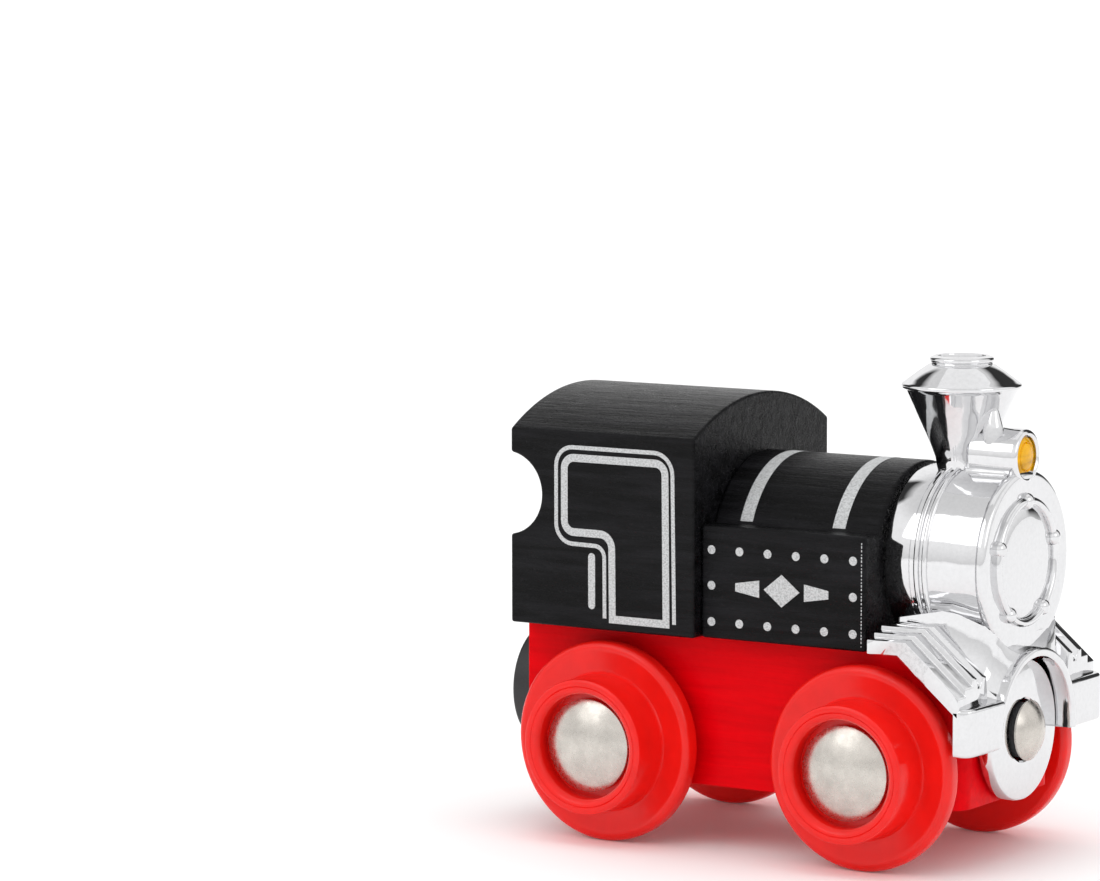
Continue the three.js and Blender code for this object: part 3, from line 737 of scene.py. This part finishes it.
class TOYENGINE_OT_boiler(Operator):
    """Builds the black boiler with its side tanks, bands, rivets and side ornament"""

    bl_idname = "toyengine.boiler"
    bl_label = "Boiler and tanks"

    def execute(self, context):
        sizes = context.scene.toy_engine_sizes
        low, high = BOILER_LOW, BOILER_HIGH
        axis_z = high.z - sizes.boiler_radius
        tank_top = low.z + sizes.tank_height
        springing = math.degrees(math.asin((tank_top - axis_z) / sizes.boiler_radius))
        barrel = arc(0, axis_z, sizes.boiler_radius, springing, 180 - springing, 48)
        outline = [
            (low.y, low.z), (high.y, low.z), (high.y, tank_top), *barrel, (low.y, tank_top),
        ]
        bm = prism(outline, along(low.x), X * (high.x - low.x))
        piece(context, "boiler_block", bm, "black_painted_wood", ["boiler"],
              edge=sizes.tank_edge, smooth=25)
        self.add_bands(context, sizes, axis_z, springing)
        self.add_side_print(context, sizes)
        return {"FINISHED"}

    def add_bands(self, context, sizes, axis_z, springing):
        """Two printed bands over the barrel, just short of the tanks."""
        band_x = (3.58, 13.93)
        inner, outer = sizes.boiler_radius - 0.05, sizes.boiler_radius + sizes.print_lift
        start = math.radians(springing + 1.5)
        bm = bmesh.new()
        for offset in band_x:
            x0 = BOILER_LOW.x + offset - sizes.band / 2
            strip = bmesh.new()
            face = outline_face(
                strip, rectangle(x0, inner, x0 + sizes.band, outer),
                lambda x, r: (x, r * math.cos(start), r * math.sin(start)),
            )
            bmesh.ops.spin(
                strip, geom=[face, *face.edges, *face.verts], cent=(0, 0, 0), axis=X,
                angle=math.pi - 2 * start, steps=48, use_duplicate=False,
            )
            add(bm, strip)
        bmesh.ops.translate(bm, verts=bm.verts, vec=Z * axis_z)
        piece(context, "boiler_bands", closed(bm), INK)

    def add_side_print(self, context, sizes):
        """Rivet dots round each tank, a lozenge bar in the middle and a dashed front edge."""
        low, high = BOILER_LOW, BOILER_HIGH
        column_x = [low.x + 1.23 + 3.16 * i for i in range(6)]
        first, last = column_x[0], column_x[-1]
        bottom, centre, top = low.z + 1.67, low.z + 5.25, low.z + 8.75
        dots = [(x, z) for x in column_x for z in (bottom, top)]
        bm = bmesh.new()
        for x, z in [*dots, (first, centre), (last, centre)]:
            add(bm, flat(arc(x, z, sizes.rivet / 2, 0, 345, 23)))
        lozenge_x, long_half, high_half = (first + last) / 2, 2.0, 1.6
        add(bm, flat([
            (lozenge_x - long_half, centre), (lozenge_x, centre - high_half),
            (lozenge_x + long_half, centre), (lozenge_x, centre + high_half),
        ]))
        wide, narrow = 0.85, 0.4
        for side in SIDES.values():
            near, far = lozenge_x + side * 2.5, lozenge_x + side * 5.2
            add(bm, flat([
                (near, centre - wide), (far, centre - narrow),
                (far, centre + narrow), (near, centre + wide),
            ]))
        dashes, edge_x, width, pitch = 30, high.x - 0.47, 0.1, 0.34
        for i in range(dashes):
            length = 0.1 + 0.14 * abs(math.sin(2.3 * i))
            foot = low.z + 0.5 + pitch * i
            add(bm, flat(rectangle(edge_x, foot, edge_x + width, foot + length)))
        piece(context, "tank_side_print", printed(bm, sizes.print_lift, Y * low.y), INK)


class TOYENGINE_OT_smokebox(Operator):
    """Builds the plated smokebox drum with its beads, door ring, bosses and headlamp"""

    bl_idname = "toyengine.smokebox"
    bl_label = "Smokebox and headlamp"

    def execute(self, context):
        sizes = context.scene.toy_engine_sizes
        centre = drum_centre(sizes)
        stud = 0.8
        front = SMOKEBOX_HIGH.x - stud
        self.add_drum(context, sizes, centre, front)
        self.add_door(context, sizes.door_ring, centre, front, stud)
        self.add_lamp(context, centre.z + sizes.drum_radius, front)
        return {"FINISHED"}

    def add_drum(self, context, sizes, centre, front):
        """The drum: a step, two beads and a groove along it, and a flat under it."""
        radius, rear = sizes.drum_radius, front - sizes.drum_length
        step, bead, groove = rear + 2.75, 0.3, front - 0.75
        flat_z = CHASSIS_HIGH.z + 1.3
        bm = turned([
            (0, rear), (radius - 0.35, rear), (radius - 0.12, rear + 0.08), (radius, rear + 0.3),
            (radius, step - 0.06), (radius - 0.1, step), (radius, step + 0.06),
            *rolled(rear + 3.55, radius, bead, 180, 0, 8),
            *rolled(rear + 4.4, radius, bead, 180, 0, 8),
            (radius, groove - 0.12), (radius - 0.18, groove - 0.06),
            (radius - 0.18, groove + 0.06), (radius - 0.02, groove + 0.14),
            *rolled(front - 0.55, radius - 0.6, 0.58, 80, 0, 6),
            (radius - 1.1, front + 0.02), (radius - 1.6, front - 0.06), (0, front - 0.06),
        ], X, centre)
        cut(bm, Z * flat_z, -Z)
        piece(context, "smokebox_drum", closed(bm), "plated_plastic", ["smokebox"], smooth=35)

    def add_door(self, context, ring, centre, front, stud):
        """A raised ring with round studs, and the shallow domed door inside it."""
        studs, bead = 5, 0.42
        bm = turned(rolled(front, ring, bead, 0, 360, 16)[:-1], X, centre)
        add(bm, turned([
            (0, front - 0.2), (ring - 0.1, front - 0.2), (ring - 0.3, front - 0.02),
            (ring * 0.7, front + 0.12), (ring * 0.35, front + 0.2), (0, front + 0.22),
        ], X, centre))
        for i in range(studs):
            turn = math.pi / 2 + i * math.tau / studs
            ball = bmesh.new()
            bmesh.ops.create_uvsphere(ball, u_segments=24, v_segments=16, radius=stud)
            bmesh.ops.scale(ball, verts=ball.verts, vec=(0.9, 1, 1))
            place = Vector((front, ring * math.cos(turn), ring * math.sin(turn)))
            bmesh.ops.translate(ball, verts=ball.verts, vec=centre + place)
            add(bm, ball)
        piece(context, "smokebox_door", bm, "plated_plastic")

    def add_lamp(self, context, drum_top, front):
        """The lamp barrel with its stepped bracket and vent, and the lens in its ring."""
        radius, lens_radius = 2.7, LENS_HIGH.y
        seat = lens_radius + 0.08
        face, back = front + 0.1, CHIMNEY.x + 2.2
        body = turned([
            (0, back), (radius, back), (radius, face - 0.5), (radius - 0.06, face - 0.25),
            (radius - 0.22, face - 0.06), (radius - 0.42, face), (seat + 0.14, face - 0.05),
            (seat, face - 0.2), (seat, face - 0.95), (0, face - 0.95),
        ], X, LAMP)
        foot = drum_top - 1.5
        bracket = block((CHIMNEY.x + 1.4, -1.8, foot), (face - 0.85, 1.8, LAMP.z), 0.3)
        add(bracket, block(
            (CHIMNEY.x + 1.6, -2.45, foot), (face - 1.2, 2.45, drum_top + 0.05), 0.25,
        ))
        peg, shoulder, top = 1.0, LAMP.z + 2.7, SMOKEBOX_HIGH.z
        vent = turned([
            (0, LAMP.z), (peg, LAMP.z), (peg, shoulder), (peg - 0.1, shoulder + 0.4),
            (peg - 0.45, top - 0.35), (peg - 0.55, top - 0.12), (peg - 0.72, top), (0, top),
        ], Z, Vector((face - 3.1, -1.4, 0)), SMALL)
        piece(context, "headlamp_body", body, "plated_plastic")
        piece(context, "headlamp_bracket", bracket, "plated_plastic")
        piece(context, "headlamp_vent", vent, "plated_plastic")
        tip = LENS_HIGH.x
        lens = turned([
            (0, LENS_LOW.x), (lens_radius, LENS_LOW.x), (lens_radius, tip - 0.45),
            (lens_radius * 0.93, tip - 0.3), (lens_radius * 0.76, tip - 0.2),
            (lens_radius * 0.7, tip - 0.34), (lens_radius * 0.64, tip - 0.14),
            (lens_radius * 0.35, tip - 0.03), (0, tip),
        ], X, LAMP, SMALL)
        piece(context, "amber_lens", lens, "amber_plastic", ["headlamp_lens"])


class TOYENGINE_OT_chimney(Operator):
    """Builds the plated diamond chimney"""

    bl_idname = "toyengine.chimney"
    bl_label = "Chimney"

    def execute(self, context):
        top, wide = CHIMNEY_HIGH.z, CHIMNEY_HIGH.y
        seat = top - 10.42
        rim, bore, bore_depth = 2.95, 2.3, 5.5
        bm = turned([
            (0, seat - 0.5), (2.35, seat - 0.5), (2.4, seat), (2.5, seat + 0.5),
            (2.75, seat + 1.1), (3.0, seat + 1.7), (3.4, seat + 2.6),
            (wide - 0.42, seat + 6.95), (wide - 0.2, seat + 7.2),
            *rolled(seat + 7.5, wide - 0.3, 0.3, 155, 35, 6),
            (wide - 0.32, seat + 7.86), (wide - 0.75, seat + 8.2), (wide - 1.6, seat + 8.84),
            (rim + 0.34, seat + 9.5), (rim + 0.05, seat + 9.62), (rim, seat + 9.72),
            *rolled(seat + 10.02, rim - 0.12, 0.3, 125, 0, 8),
            (rim - 0.3, top), (bore + 0.15, top), (bore + 0.03, top - 0.06), (bore, top - 0.2),
            (bore, top - bore_depth), (0, top - bore_depth),
        ], Z, CHIMNEY)
        piece(context, "chimney_stack", bm, "plated_plastic", ["chimney"], smooth=35)
        return {"FINISHED"}


class TOYENGINE_OT_pilot_deck(Operator):
    """Builds the stepped running boards, slope, saddle, buffer beam and coupling arch"""

    bl_idname = "toyengine.pilot_deck"
    bl_label = "Pilot deck"

    def execute(self, context):
        self.underside = CHASSIS_HIGH.z + 0.4
        self.rear, self.half = DECK_LOW.x, DECK_HIGH.y
        self.beam_front = DECK_HIGH.x
        self.beam_bottom = COUPLING.z - 0.7
        self.arch_room, self.arch_outside = 7.4, 8.15
        self.add_boards(context)
        self.add_beam(context)
        self.add_arch(context)
        self.add_saddle(context, context.scene.toy_engine_sizes)
        return {"FINISHED"}

    def bend_x(self, height):
        """X of the bend between flat board and slope, at a height above the underside."""
        return deck_underside_x(self.underside) + height * 0.62 - 0.3

    def room(self, radius, rear, front):
        """A cutter that leaves room round the coupling."""
        return rod(X, radius, rear, front, COUPLING, steps=FINE)

    def add_boards(self, context):
        """The stepped section follows the flat deck, then the slope down to the beam."""
        base, half, step = self.underside, self.half, 0.5
        board = base + 1.4
        edge, inside_beam = 0.12, 1.2
        down_slope = X + Vector((math.cos(SLOPE), 0, -math.sin(SLOPE))) * 12
        right = [
            (half, base), (half, board), (half - 1.4, board), (half - 1.4, board + step),
            (half - 2.8, board + step), (half - 2.8, board + 2 * step),
            (half - 3.7, board + 2 * step), (half - 3.9, board + 0.35),
            (half - 4.5, board + 0.35), (half - 4.7, board + 0.95),
            (half - 5.6, board + 0.95), (half - 5.9, base + 0.6), (half - 5.9, base),
        ]
        bm = bmesh.new()
        for side in (1, -1):
            strip = bmesh.new()
            face = outline_face(strip, [(side * y, z) for y, z in right], along(self.rear))
            bend = extrude(strip, [face], X)
            for v in {v for f in bend for v in f.verts}:
                v.co.x = self.bend_x(v.co.z - base)
            extrude(strip, bend, down_slope)
            closed(strip)
            cut(strip, X * (self.beam_front - inside_beam), X)
            cut(strip, Z * self.beam_bottom, -Z)
            closed(strip)
            bevel(strip, [e for e in strip.edges if is_sharp(e, 25)], edge, 2)
            add(bm, strip)
        bm = carved(bm, [self.room(self.arch_room, self.rear - 20, self.beam_front + 5)])
        piece(context, "running_boards", bm, "plated_plastic", ["pilot_deck"], smooth=30)

    def add_beam(self, context):
        """The buffer beam on each side of the arch, with rounded corners and rims."""
        front, depth, height = self.beam_front, 1.8, 4.7
        inner_y, corner_round, rim_round = 3.0, 1.4, 0.4
        bm = bmesh.new()
        for side in (1, -1):
            outline = rectangle(front - depth, inner_y * side, front, self.half * side)
            end = prism(outline, level(self.beam_bottom), Z * height)
            bevel(end, front_uprights(end, front, 10), corner_round, 8)
            rim = [
                e for e in end.edges
                if is_sharp(e, 30) and any(v.co.x > front - 1.5 for v in e.verts)
            ]
            bevel(end, rim, rim_round, 4)
            add(bm, end)
        bm = carved(bm, [self.room(self.arch_outside - 0.2, self.rear, front + 5)])
        piece(context, "buffer_beam", bm, "plated_plastic", smooth=30)

    def add_arch(self, context):
        """The arched rim over the coupling plate."""
        inner, outer, front = 7.2, self.arch_outside, self.beam_front
        bm = turned([
            (inner, PLATE_LOW.x), (outer, PLATE_LOW.x), (outer, front - 0.25),
            (outer - 0.05, front - 0.08), (outer - 0.22, front), (inner + 0.35, front),
            (inner + 0.1, front - 0.15), (inner, front - 0.4),
        ], X, COUPLING)
        cut(bm, Z * self.beam_bottom, -Z)
        piece(context, "coupling_arch", closed(bm), "plated_plastic", smooth=35)

    def add_saddle(self, context, sizes):
        """The cradle under the drum: coved sides that rise to the drum and run down to the arch."""
        ridge = (  # x, half width and z of the top edge, from the rear
            (self.rear + 0.2, 8.3, 24.3), (self.rear + 3.2, 8.25, 24.9), (22.9, 8.1, 25.2),
            (24.6, 7.8, 25.0), (26.1, 7.4, 24.45), (27.2, 7.0, 23.9), (27.7, 6.4, 23.2),
            (28.1, 5.6, 22.2), (28.45, 4.9, 21.0), (28.7, 4.4, 20.0),
        )
        foot, foot_half, sunk = 1.7, 8.4, 1.2
        taper_x, taper = 27.2, 0.5
        turns = [math.pi / 2 * i / 8 for i in range(9)]
        bm = bmesh.new()
        loops = []
        for x, y, z in ridge:
            drop = max(0.0, x - self.bend_x(foot)) * math.tan(SLOPE)
            floor = self.underside + foot - drop
            wide = foot_half - max(0.0, x - taper_x) * taper
            half = [(wide, floor - sunk)] + [
                (wide - (wide - y) * math.sin(t), floor + (z - floor) * (1 - math.cos(t)))
                for t in turns
            ]
            outline = [(-b, c) for b, c in half] + half[::-1]
            verts = [bm.verts.new((x, b, c)) for b, c in outline]
            loops.append([bm.edges.new(pair) for pair in zip(verts, verts[1:] + verts[:1])])
        for first, second in zip(loops, loops[1:]):
            bmesh.ops.bridge_loops(bm, edges=first + second)
        for end in (loops[0], loops[-1]):
            bmesh.ops.triangle_fill(bm, edges=end, use_beauty=True)
        door = SMOKEBOX_HIGH.x - 0.91
        bm = carved(closed(bm), [
            rod(X, sizes.drum_radius, door, door + 4, drum_centre(sizes), steps=FINE),
            self.room(self.arch_room, PLATE_LOW.x - 0.6, self.beam_front + 2),
        ])
        piece(context, "drum_saddle", bm, "plated_plastic", smooth=35)


class TOYENGINE_OT_wheels(Operator):
    """Builds the four red wheels with their raised hubs"""

    bl_idname = "toyengine.wheels"
    bl_label = "Wheels"

    def execute(self, context):
        for end in ENDS:
            for side in SIDES:
                self.add_wheel(context, context.scene.toy_engine_sizes, end, side)
        return {"FINISHED"}

    def add_wheel(self, context, sizes, end, side):
        """A rounded disc, and a hub with a fine groove in its face and a recess for the cap."""
        node = f"{end}_{side}_wheel"
        low, high = box_mm(node)
        inner, face = reach(node, 1)
        outer = inner + sizes.disc_width
        edge, hub, recess = sizes.wheel_edge, sizes.hub_radius, sizes.hub_recess
        rim = (high.z - low.z) / 2 - edge
        floor = face - sizes.hub_recess_depth
        bm = turned([
            (AXLE_HOLE, inner),
            *rolled(inner + edge, rim, edge, 180, 90, 6),
            *rolled(outer - edge, rim, edge, 90, 0, 6),
            (rim - 0.2, outer - 0.02), (rim - 0.4, outer - 0.08),
            (hub + 0.6, outer - 0.36), (hub + 0.2, outer - 0.33), (hub + 0.03, outer - 0.12),
            (hub, outer + 0.1), (hub - 0.05, face - 0.32), (hub - 0.12, face - 0.14),
            (hub - 0.3, face - 0.02), (hub - 0.5, face), (hub - 0.72, face - 0.01),
            (hub - 0.79, face - 0.08), (hub - 0.86, face - 0.01), (recess + 0.5, face - 0.04),
            (recess + 0.3, face - 0.12), (recess + 0.06, face - 0.42), (recess, face - 0.7),
            (recess, floor), (AXLE_HOLE, floor),
        ], Y, AXLE[end], sign=SIDES[side])
        piece(context, f"{node}_moulding", bm, "red_plastic", [node], node, smooth=35)


class TOYENGINE_OT_axles(Operator):
    """Builds the steel axles and their domed hub caps"""

    bl_idname = "toyengine.axles"
    bl_label = "Axles and hub caps"

    def execute(self, context):
        radius = context.scene.toy_engine_sizes.hub_cap
        for end in ENDS:
            axle = f"{end}_axle"
            low, high = box_mm(axle)
            bm = rod(Y, (high.z - low.z) / 2, low.y, high.y, AXLE[end], edge=0.2)
            piece(context, f"{axle}_rod", bm, "steel", [axle], axle)
            for side in SIDES:
                self.add_cap(context, radius, end, side)
        return {"FINISHED"}

    def add_cap(self, context, radius, end, side):
        node = f"{end}_{side}_hub_cap"
        back, tip = reach(node, 1)
        rim = (tip - back) * 0.27
        bm = turned(domed_button(radius, back, tip, AXLE_HOLE, 0.9, rim), Y, AXLE[end],
                    sign=SIDES[side])
        piece(context, f"{end}_{side}_hub_dome", bm, "nickel", [node], f"{end}_axle", smooth=35)


class TOYENGINE_OT_front_coupling(Operator):
    """Builds the plated coupling plate, ring magnet, steel cap and pin at the front"""

    bl_idname = "toyengine.front_coupling"
    bl_label = "Front coupling"

    def execute(self, context):
        low, high = PLATE_LOW, PLATE_HIGH
        radius, hole = (high.z - low.z) / 2, 3.0
        plate = turned([
            (hole, low.x), (radius - 0.15, low.x), (radius, low.x + 0.15),
            (radius, high.x - 0.35), (radius - 0.1, high.x - 0.1), (radius - 0.35, high.x),
            (hole + 0.2, high.x), (hole, high.x - 0.2),
        ], X, COUPLING)
        piece(context, "coupling_disc", plate, "plated_plastic", ["front_coupling_plate"],
              smooth=35)
        add_magnet(context, "front")
        return {"FINISHED"}


def add_magnet(context, end):
    """The ring magnet with its domed cap, and the pin that holds them, at one end."""
    node = f"{end}_magnet"
    back, face = reach(node, 0)
    radius, bore, edge = box_mm(node)[1].y, 0.95, 0.15
    ring = turned([
        (bore, back), (radius - edge, back), (radius, back + edge), (radius, face - edge),
        (radius - edge, face), (bore, face),
    ], X, COUPLING, SMALL, ENDS[end])
    piece(context, f"{node}_ring", ring, "ferrite", [node], node)
    cap = f"{end}_magnet_cap"
    button = domed_button(box_mm(cap)[1].y, *reach(cap, 0), 1.75, 0.55, 0.25)
    dome = turned(button, X, COUPLING, sign=ENDS[end])
    piece(context, f"{end}_magnet_dome", dome, "nickel", [cap], node, smooth=35)
    pin = f"{end}_coupling_pin"
    tail, head = reach(pin, 0)
    shank, flange = 0.8, box_mm(pin)[1].y
    bar = turned([
        (0, tail), (shank - 0.2, tail), (shank, tail + 0.3), (shank, head - 0.35),
        (flange, head - 0.35), (flange, head - 0.1), (flange - 0.1, head), (0, head),
    ], X, COUPLING, SMALL, ENDS[end])
    piece(context, f"{end}_pin", bar, "steel", [pin])


class TOYENGINE_OT_rear_coupling(Operator):
    """Builds the black coupling housing, steel dish, magnet, cap and pin at the rear"""

    bl_idname = "toyengine.rear_coupling"
    bl_label = "Rear coupling"

    def execute(self, context):
        bore = 0.95
        low, high = box_mm("rear_coupling_housing")
        back, mouth, radius, wall = high.x, low.x, high.y, 0.8
        housing = turned([
            (bore, back), (radius - 0.2, back), (radius, back - 0.2),
            *rolled(mouth + wall / 2, radius - wall / 2, wall / 2, 90, 270, 8),
            (radius - wall, back - 1.0), (bore, back - 1.0),
        ], X, COUPLING)
        piece(context, "rear_housing", housing, "black_plastic", ["rear_coupling_housing"],
              smooth=35)
        low, high = box_mm("rear_coupling_dish")
        back, front, radius, wall = high.x, low.x, high.y, 0.6
        dish = turned([
            (bore, back), (radius - 0.1, back), (radius, back - 0.1), (radius, front + 0.15),
            (radius - 0.15, front), (radius - wall + 0.1, front), (radius - wall, front + 0.12),
            (3.4, back - wall - 0.15), (3.0, back - wall), (bore, back - wall),
        ], X, COUPLING)
        piece(context, "rear_dish", dish, "steel", ["rear_coupling_dish"], smooth=35)
        add_magnet(context, "rear")
        return {"FINISHED"}


class TOYENGINE_OT_fixings(Operator):
    """Builds the body screws with their cross recesses and the hidden dowel"""

    bl_idname = "toyengine.fixings"
    bl_label = "Screws and dowel"

    def execute(self, context):
        shank, slot_reach, slot_half, slot_depth = 1.2, 1.35, 0.28, 0.7
        for end in ENDS:
            node = f"body_screw_{end}"
            low, high = box_mm(node)
            centre = middle(node, (1, 1, 0))
            head = (high.x - low.x) / 2
            screw = turned([
                (0, low.z), (head - 0.15, low.z), (head, low.z + 0.12), (shank, low.z + 1.3),
                (shank, high.z - 1.2), (0, high.z),
            ], Z, centre, SMALL)
            slots = [
                block(centre + Vector((-a, -b, low.z - 1)),
                      centre + Vector((a, b, low.z + slot_depth)))
                for a, b in ((slot_reach, slot_half), (slot_half, slot_reach))
            ]
            piece(context, f"{end}_screw", carved(screw, slots), "steel", [node], smooth=30)
        dowel = "cab_boiler_dowel"
        low, high = box_mm(dowel)
        bm = rod(X, (high.z - low.z) / 2, low.x, high.x, middle(dowel, (0, 0, 1)), edge=0.3)
        piece(context, "dowel_pin", bm, "bare_wood", [dowel])
        return {"FINISHED"}


class TOYENGINE_OT_stage(Operator):
    """Sets out the pale floor, the soft studio light and the camera"""

    bl_idname = "toyengine.stage"
    bl_label = "Stage"

    def execute(self, context):
        self.add_floor(context)
        self.add_sky(context)
        self.add_lights(context)
        self.add_camera(context)
        context.scene.view_settings.view_transform = "Standard"
        return {"FINISHED"}

    def add_floor(self, context):
        bm = bmesh.new()
        bmesh.ops.create_grid(bm, x_segments=1, y_segments=1, size=3.0)
        mesh = bpy.data.meshes.new("floor")
        bm.to_mesh(mesh)
        bm.free()
        floor = bpy.data.objects.new("floor", mesh)
        context.scene.collection.objects.link(floor)
        finish = Finish("floor_paper")
        finish.set(Base_Color=(0.92, 0.92, 0.92), Roughness=0.9, Specular_IOR_Level=0.1)
        finish.set(Emission_Color=WHITE, Emission_Strength=0.03)
        mesh.materials.append(finish.material)

    def add_sky(self, context):
        """A white room with two darker gaps beside the backdrop for the plating to mirror.

        Matt surfaces are lit by a plain room that is darker near the floor, and the backdrop
        is white.
        """
        world = bpy.data.worlds.new("studio")
        context.scene.world = world
        sky = NodeTree(world)
        direction = sky.node("ShaderNodeTexCoord", {}).outputs["Generated"]
        ahead = math.pi / 2 - context.scene.toy_engine_view.azimuth
        turn = sky.node("ShaderNodeMapping", {"Vector": direction, "Rotation": (0, 0, ahead)},
                        vector_type="VECTOR")
        sweep = sky.node("ShaderNodeTexGradient", {"Vector": turn.outputs["Vector"]},
                         gradient_type="RADIAL")
        beside = sky.maths("ABSOLUTE", sky.maths("SUBTRACT", sweep.outputs["Fac"], 0.5))
        gaps = sky.ramp(sky.maths("MULTIPLY", beside, 2.0), (
            (0.0, 1.0), (0.65, 1.0), (0.68, 0.04), (0.86, 0.04), (0.89, 1.0), (1.0, 1.0),
        ))
        z = sky.node("ShaderNodeSeparateXYZ", {"Vector": direction}).outputs["Z"]
        height = sky.ramp(z, (
            (0.0, 0.78), (0.12, 0.88), (0.3, 1.0), (0.6, 1.0), (0.78, 0.78), (1.0, 0.7),
        ))
        filled_gaps = sky.ramp(z, ((0.0, 0.7), (0.1, 0.0), (0.7, 0.0), (0.8, 1.0)))
        mirrored_room = sky.maths("MULTIPLY", sky.mixed(filled_gaps, gaps, WHITE), height)
        lit_room = sky.ramp(z, ((0.0, 0.3), (1.0, 1.0)))
        path = sky.node("ShaderNodeLightPath", {}).outputs
        room = sky.mixed(path["Is Diffuse Ray"], mirrored_room, lit_room)
        background = sky.tree.nodes["Background"].inputs
        sky.feed(background["Color"], sky.mixed(path["Is Camera Ray"], room, WHITE))
        mirrored_power, extra_power = 1.1, 0.4
        sky.feed(background["Strength"], sky.maths(
            "MULTIPLY_ADD", path["Is Diffuse Ray"], extra_power, mirrored_power,
        ))

    def add_lights(self, context):
        lights = (  # name, place in metres, width and power
            ("key_softbox", (-0.35, -0.75, 0.65), 0.55, 1.0),
            ("side_softbox", (0.85, -0.15, 0.45), 0.45, 0.5),
            ("top_softbox", (0.0, 0.15, 0.95), 0.8, 0.6),
        )
        target = Vector((0, 0, 0.02))
        for name, place, width, power in lights:
            data = bpy.data.lights.new(name, "AREA")
            data.shape = "SQUARE"
            data.size = width
            data.energy = power
            lamp = bpy.data.objects.new(name, data)
            lamp.location = place
            lamp.rotation_euler = (target - Vector(place)).to_track_quat("-Z", "Y").to_euler()
            context.scene.collection.objects.link(lamp)

    def add_camera(self, context):
        view = context.scene.toy_engine_view
        data = bpy.data.cameras.new("camera")
        data.lens = view.lens
        data.sensor_width = 36.0
        data.clip_start, data.clip_end = 0.01, 20.0
        camera = bpy.data.objects.new("camera", data)
        context.scene.collection.objects.link(camera)
        out = Vector((
            math.sin(view.azimuth) * math.cos(view.elevation),
            -math.cos(view.azimuth) * math.cos(view.elevation),
            math.sin(view.elevation),
        ))
        camera.location = Vector(view.target) + out * view.distance
        turn = (-out).to_track_quat("-Z", "Y").to_matrix() @ Matrix.Rotation(view.roll, 3, "Z")
        camera.rotation_euler = turn.to_euler()
        context.scene.camera = camera


# ------------------------------------------------------------------ panel and registration

BUILDERS = (
    TOYENGINE_OT_chassis, TOYENGINE_OT_cab, TOYENGINE_OT_boiler, TOYENGINE_OT_smokebox,
    TOYENGINE_OT_chimney, TOYENGINE_OT_pilot_deck, TOYENGINE_OT_wheels, TOYENGINE_OT_axles,
    TOYENGINE_OT_front_coupling, TOYENGINE_OT_rear_coupling, TOYENGINE_OT_fixings,
    TOYENGINE_OT_stage,
)
GROUPS = {
    "toy_engine_sizes": ToyEngineSizes,
    "toy_engine_finishes": ToyEngineFinishes,
    "toy_engine_view": ToyEngineView,
}


class TOYENGINE_PT_builder(Panel):
    """Lists the sizes, the finishes and a button for each group of pieces"""

    bl_label = "Toy Steam Engine"
    bl_idname = "TOYENGINE_PT_builder"
    bl_space_type = "VIEW_3D"
    bl_region_type = "UI"
    bl_category = "Toy Engine"

    def draw(self, context):
        for name, group in GROUPS.items():
            column = self.layout.column(align=True)
            for value in group.__annotations__:
                column.prop(getattr(context.scene, name), value)
        for builder in BUILDERS:
            self.layout.operator(builder.bl_idname)


CLASSES = (*GROUPS.values(), *BUILDERS, TOYENGINE_PT_builder)


def register():
    for cls in CLASSES:
        bpy.utils.register_class(cls)
    for name, group in GROUPS.items():
        setattr(bpy.types.Scene, name, PointerProperty(type=group))


def unregister():
    for name in GROUPS:
        delattr(bpy.types.Scene, name)
    for cls in reversed(CLASSES):
        bpy.utils.unregister_class(cls)


def main():
    register()
    for name in (
        "chassis", "cab", "boiler", "smokebox", "chimney", "pilot_deck", "wheels", "axles",
        "front_coupling", "rear_coupling", "fixings", "stage",
    ):
        getattr(bpy.ops.toyengine, name)()


if __name__ == "__main__":
    main()
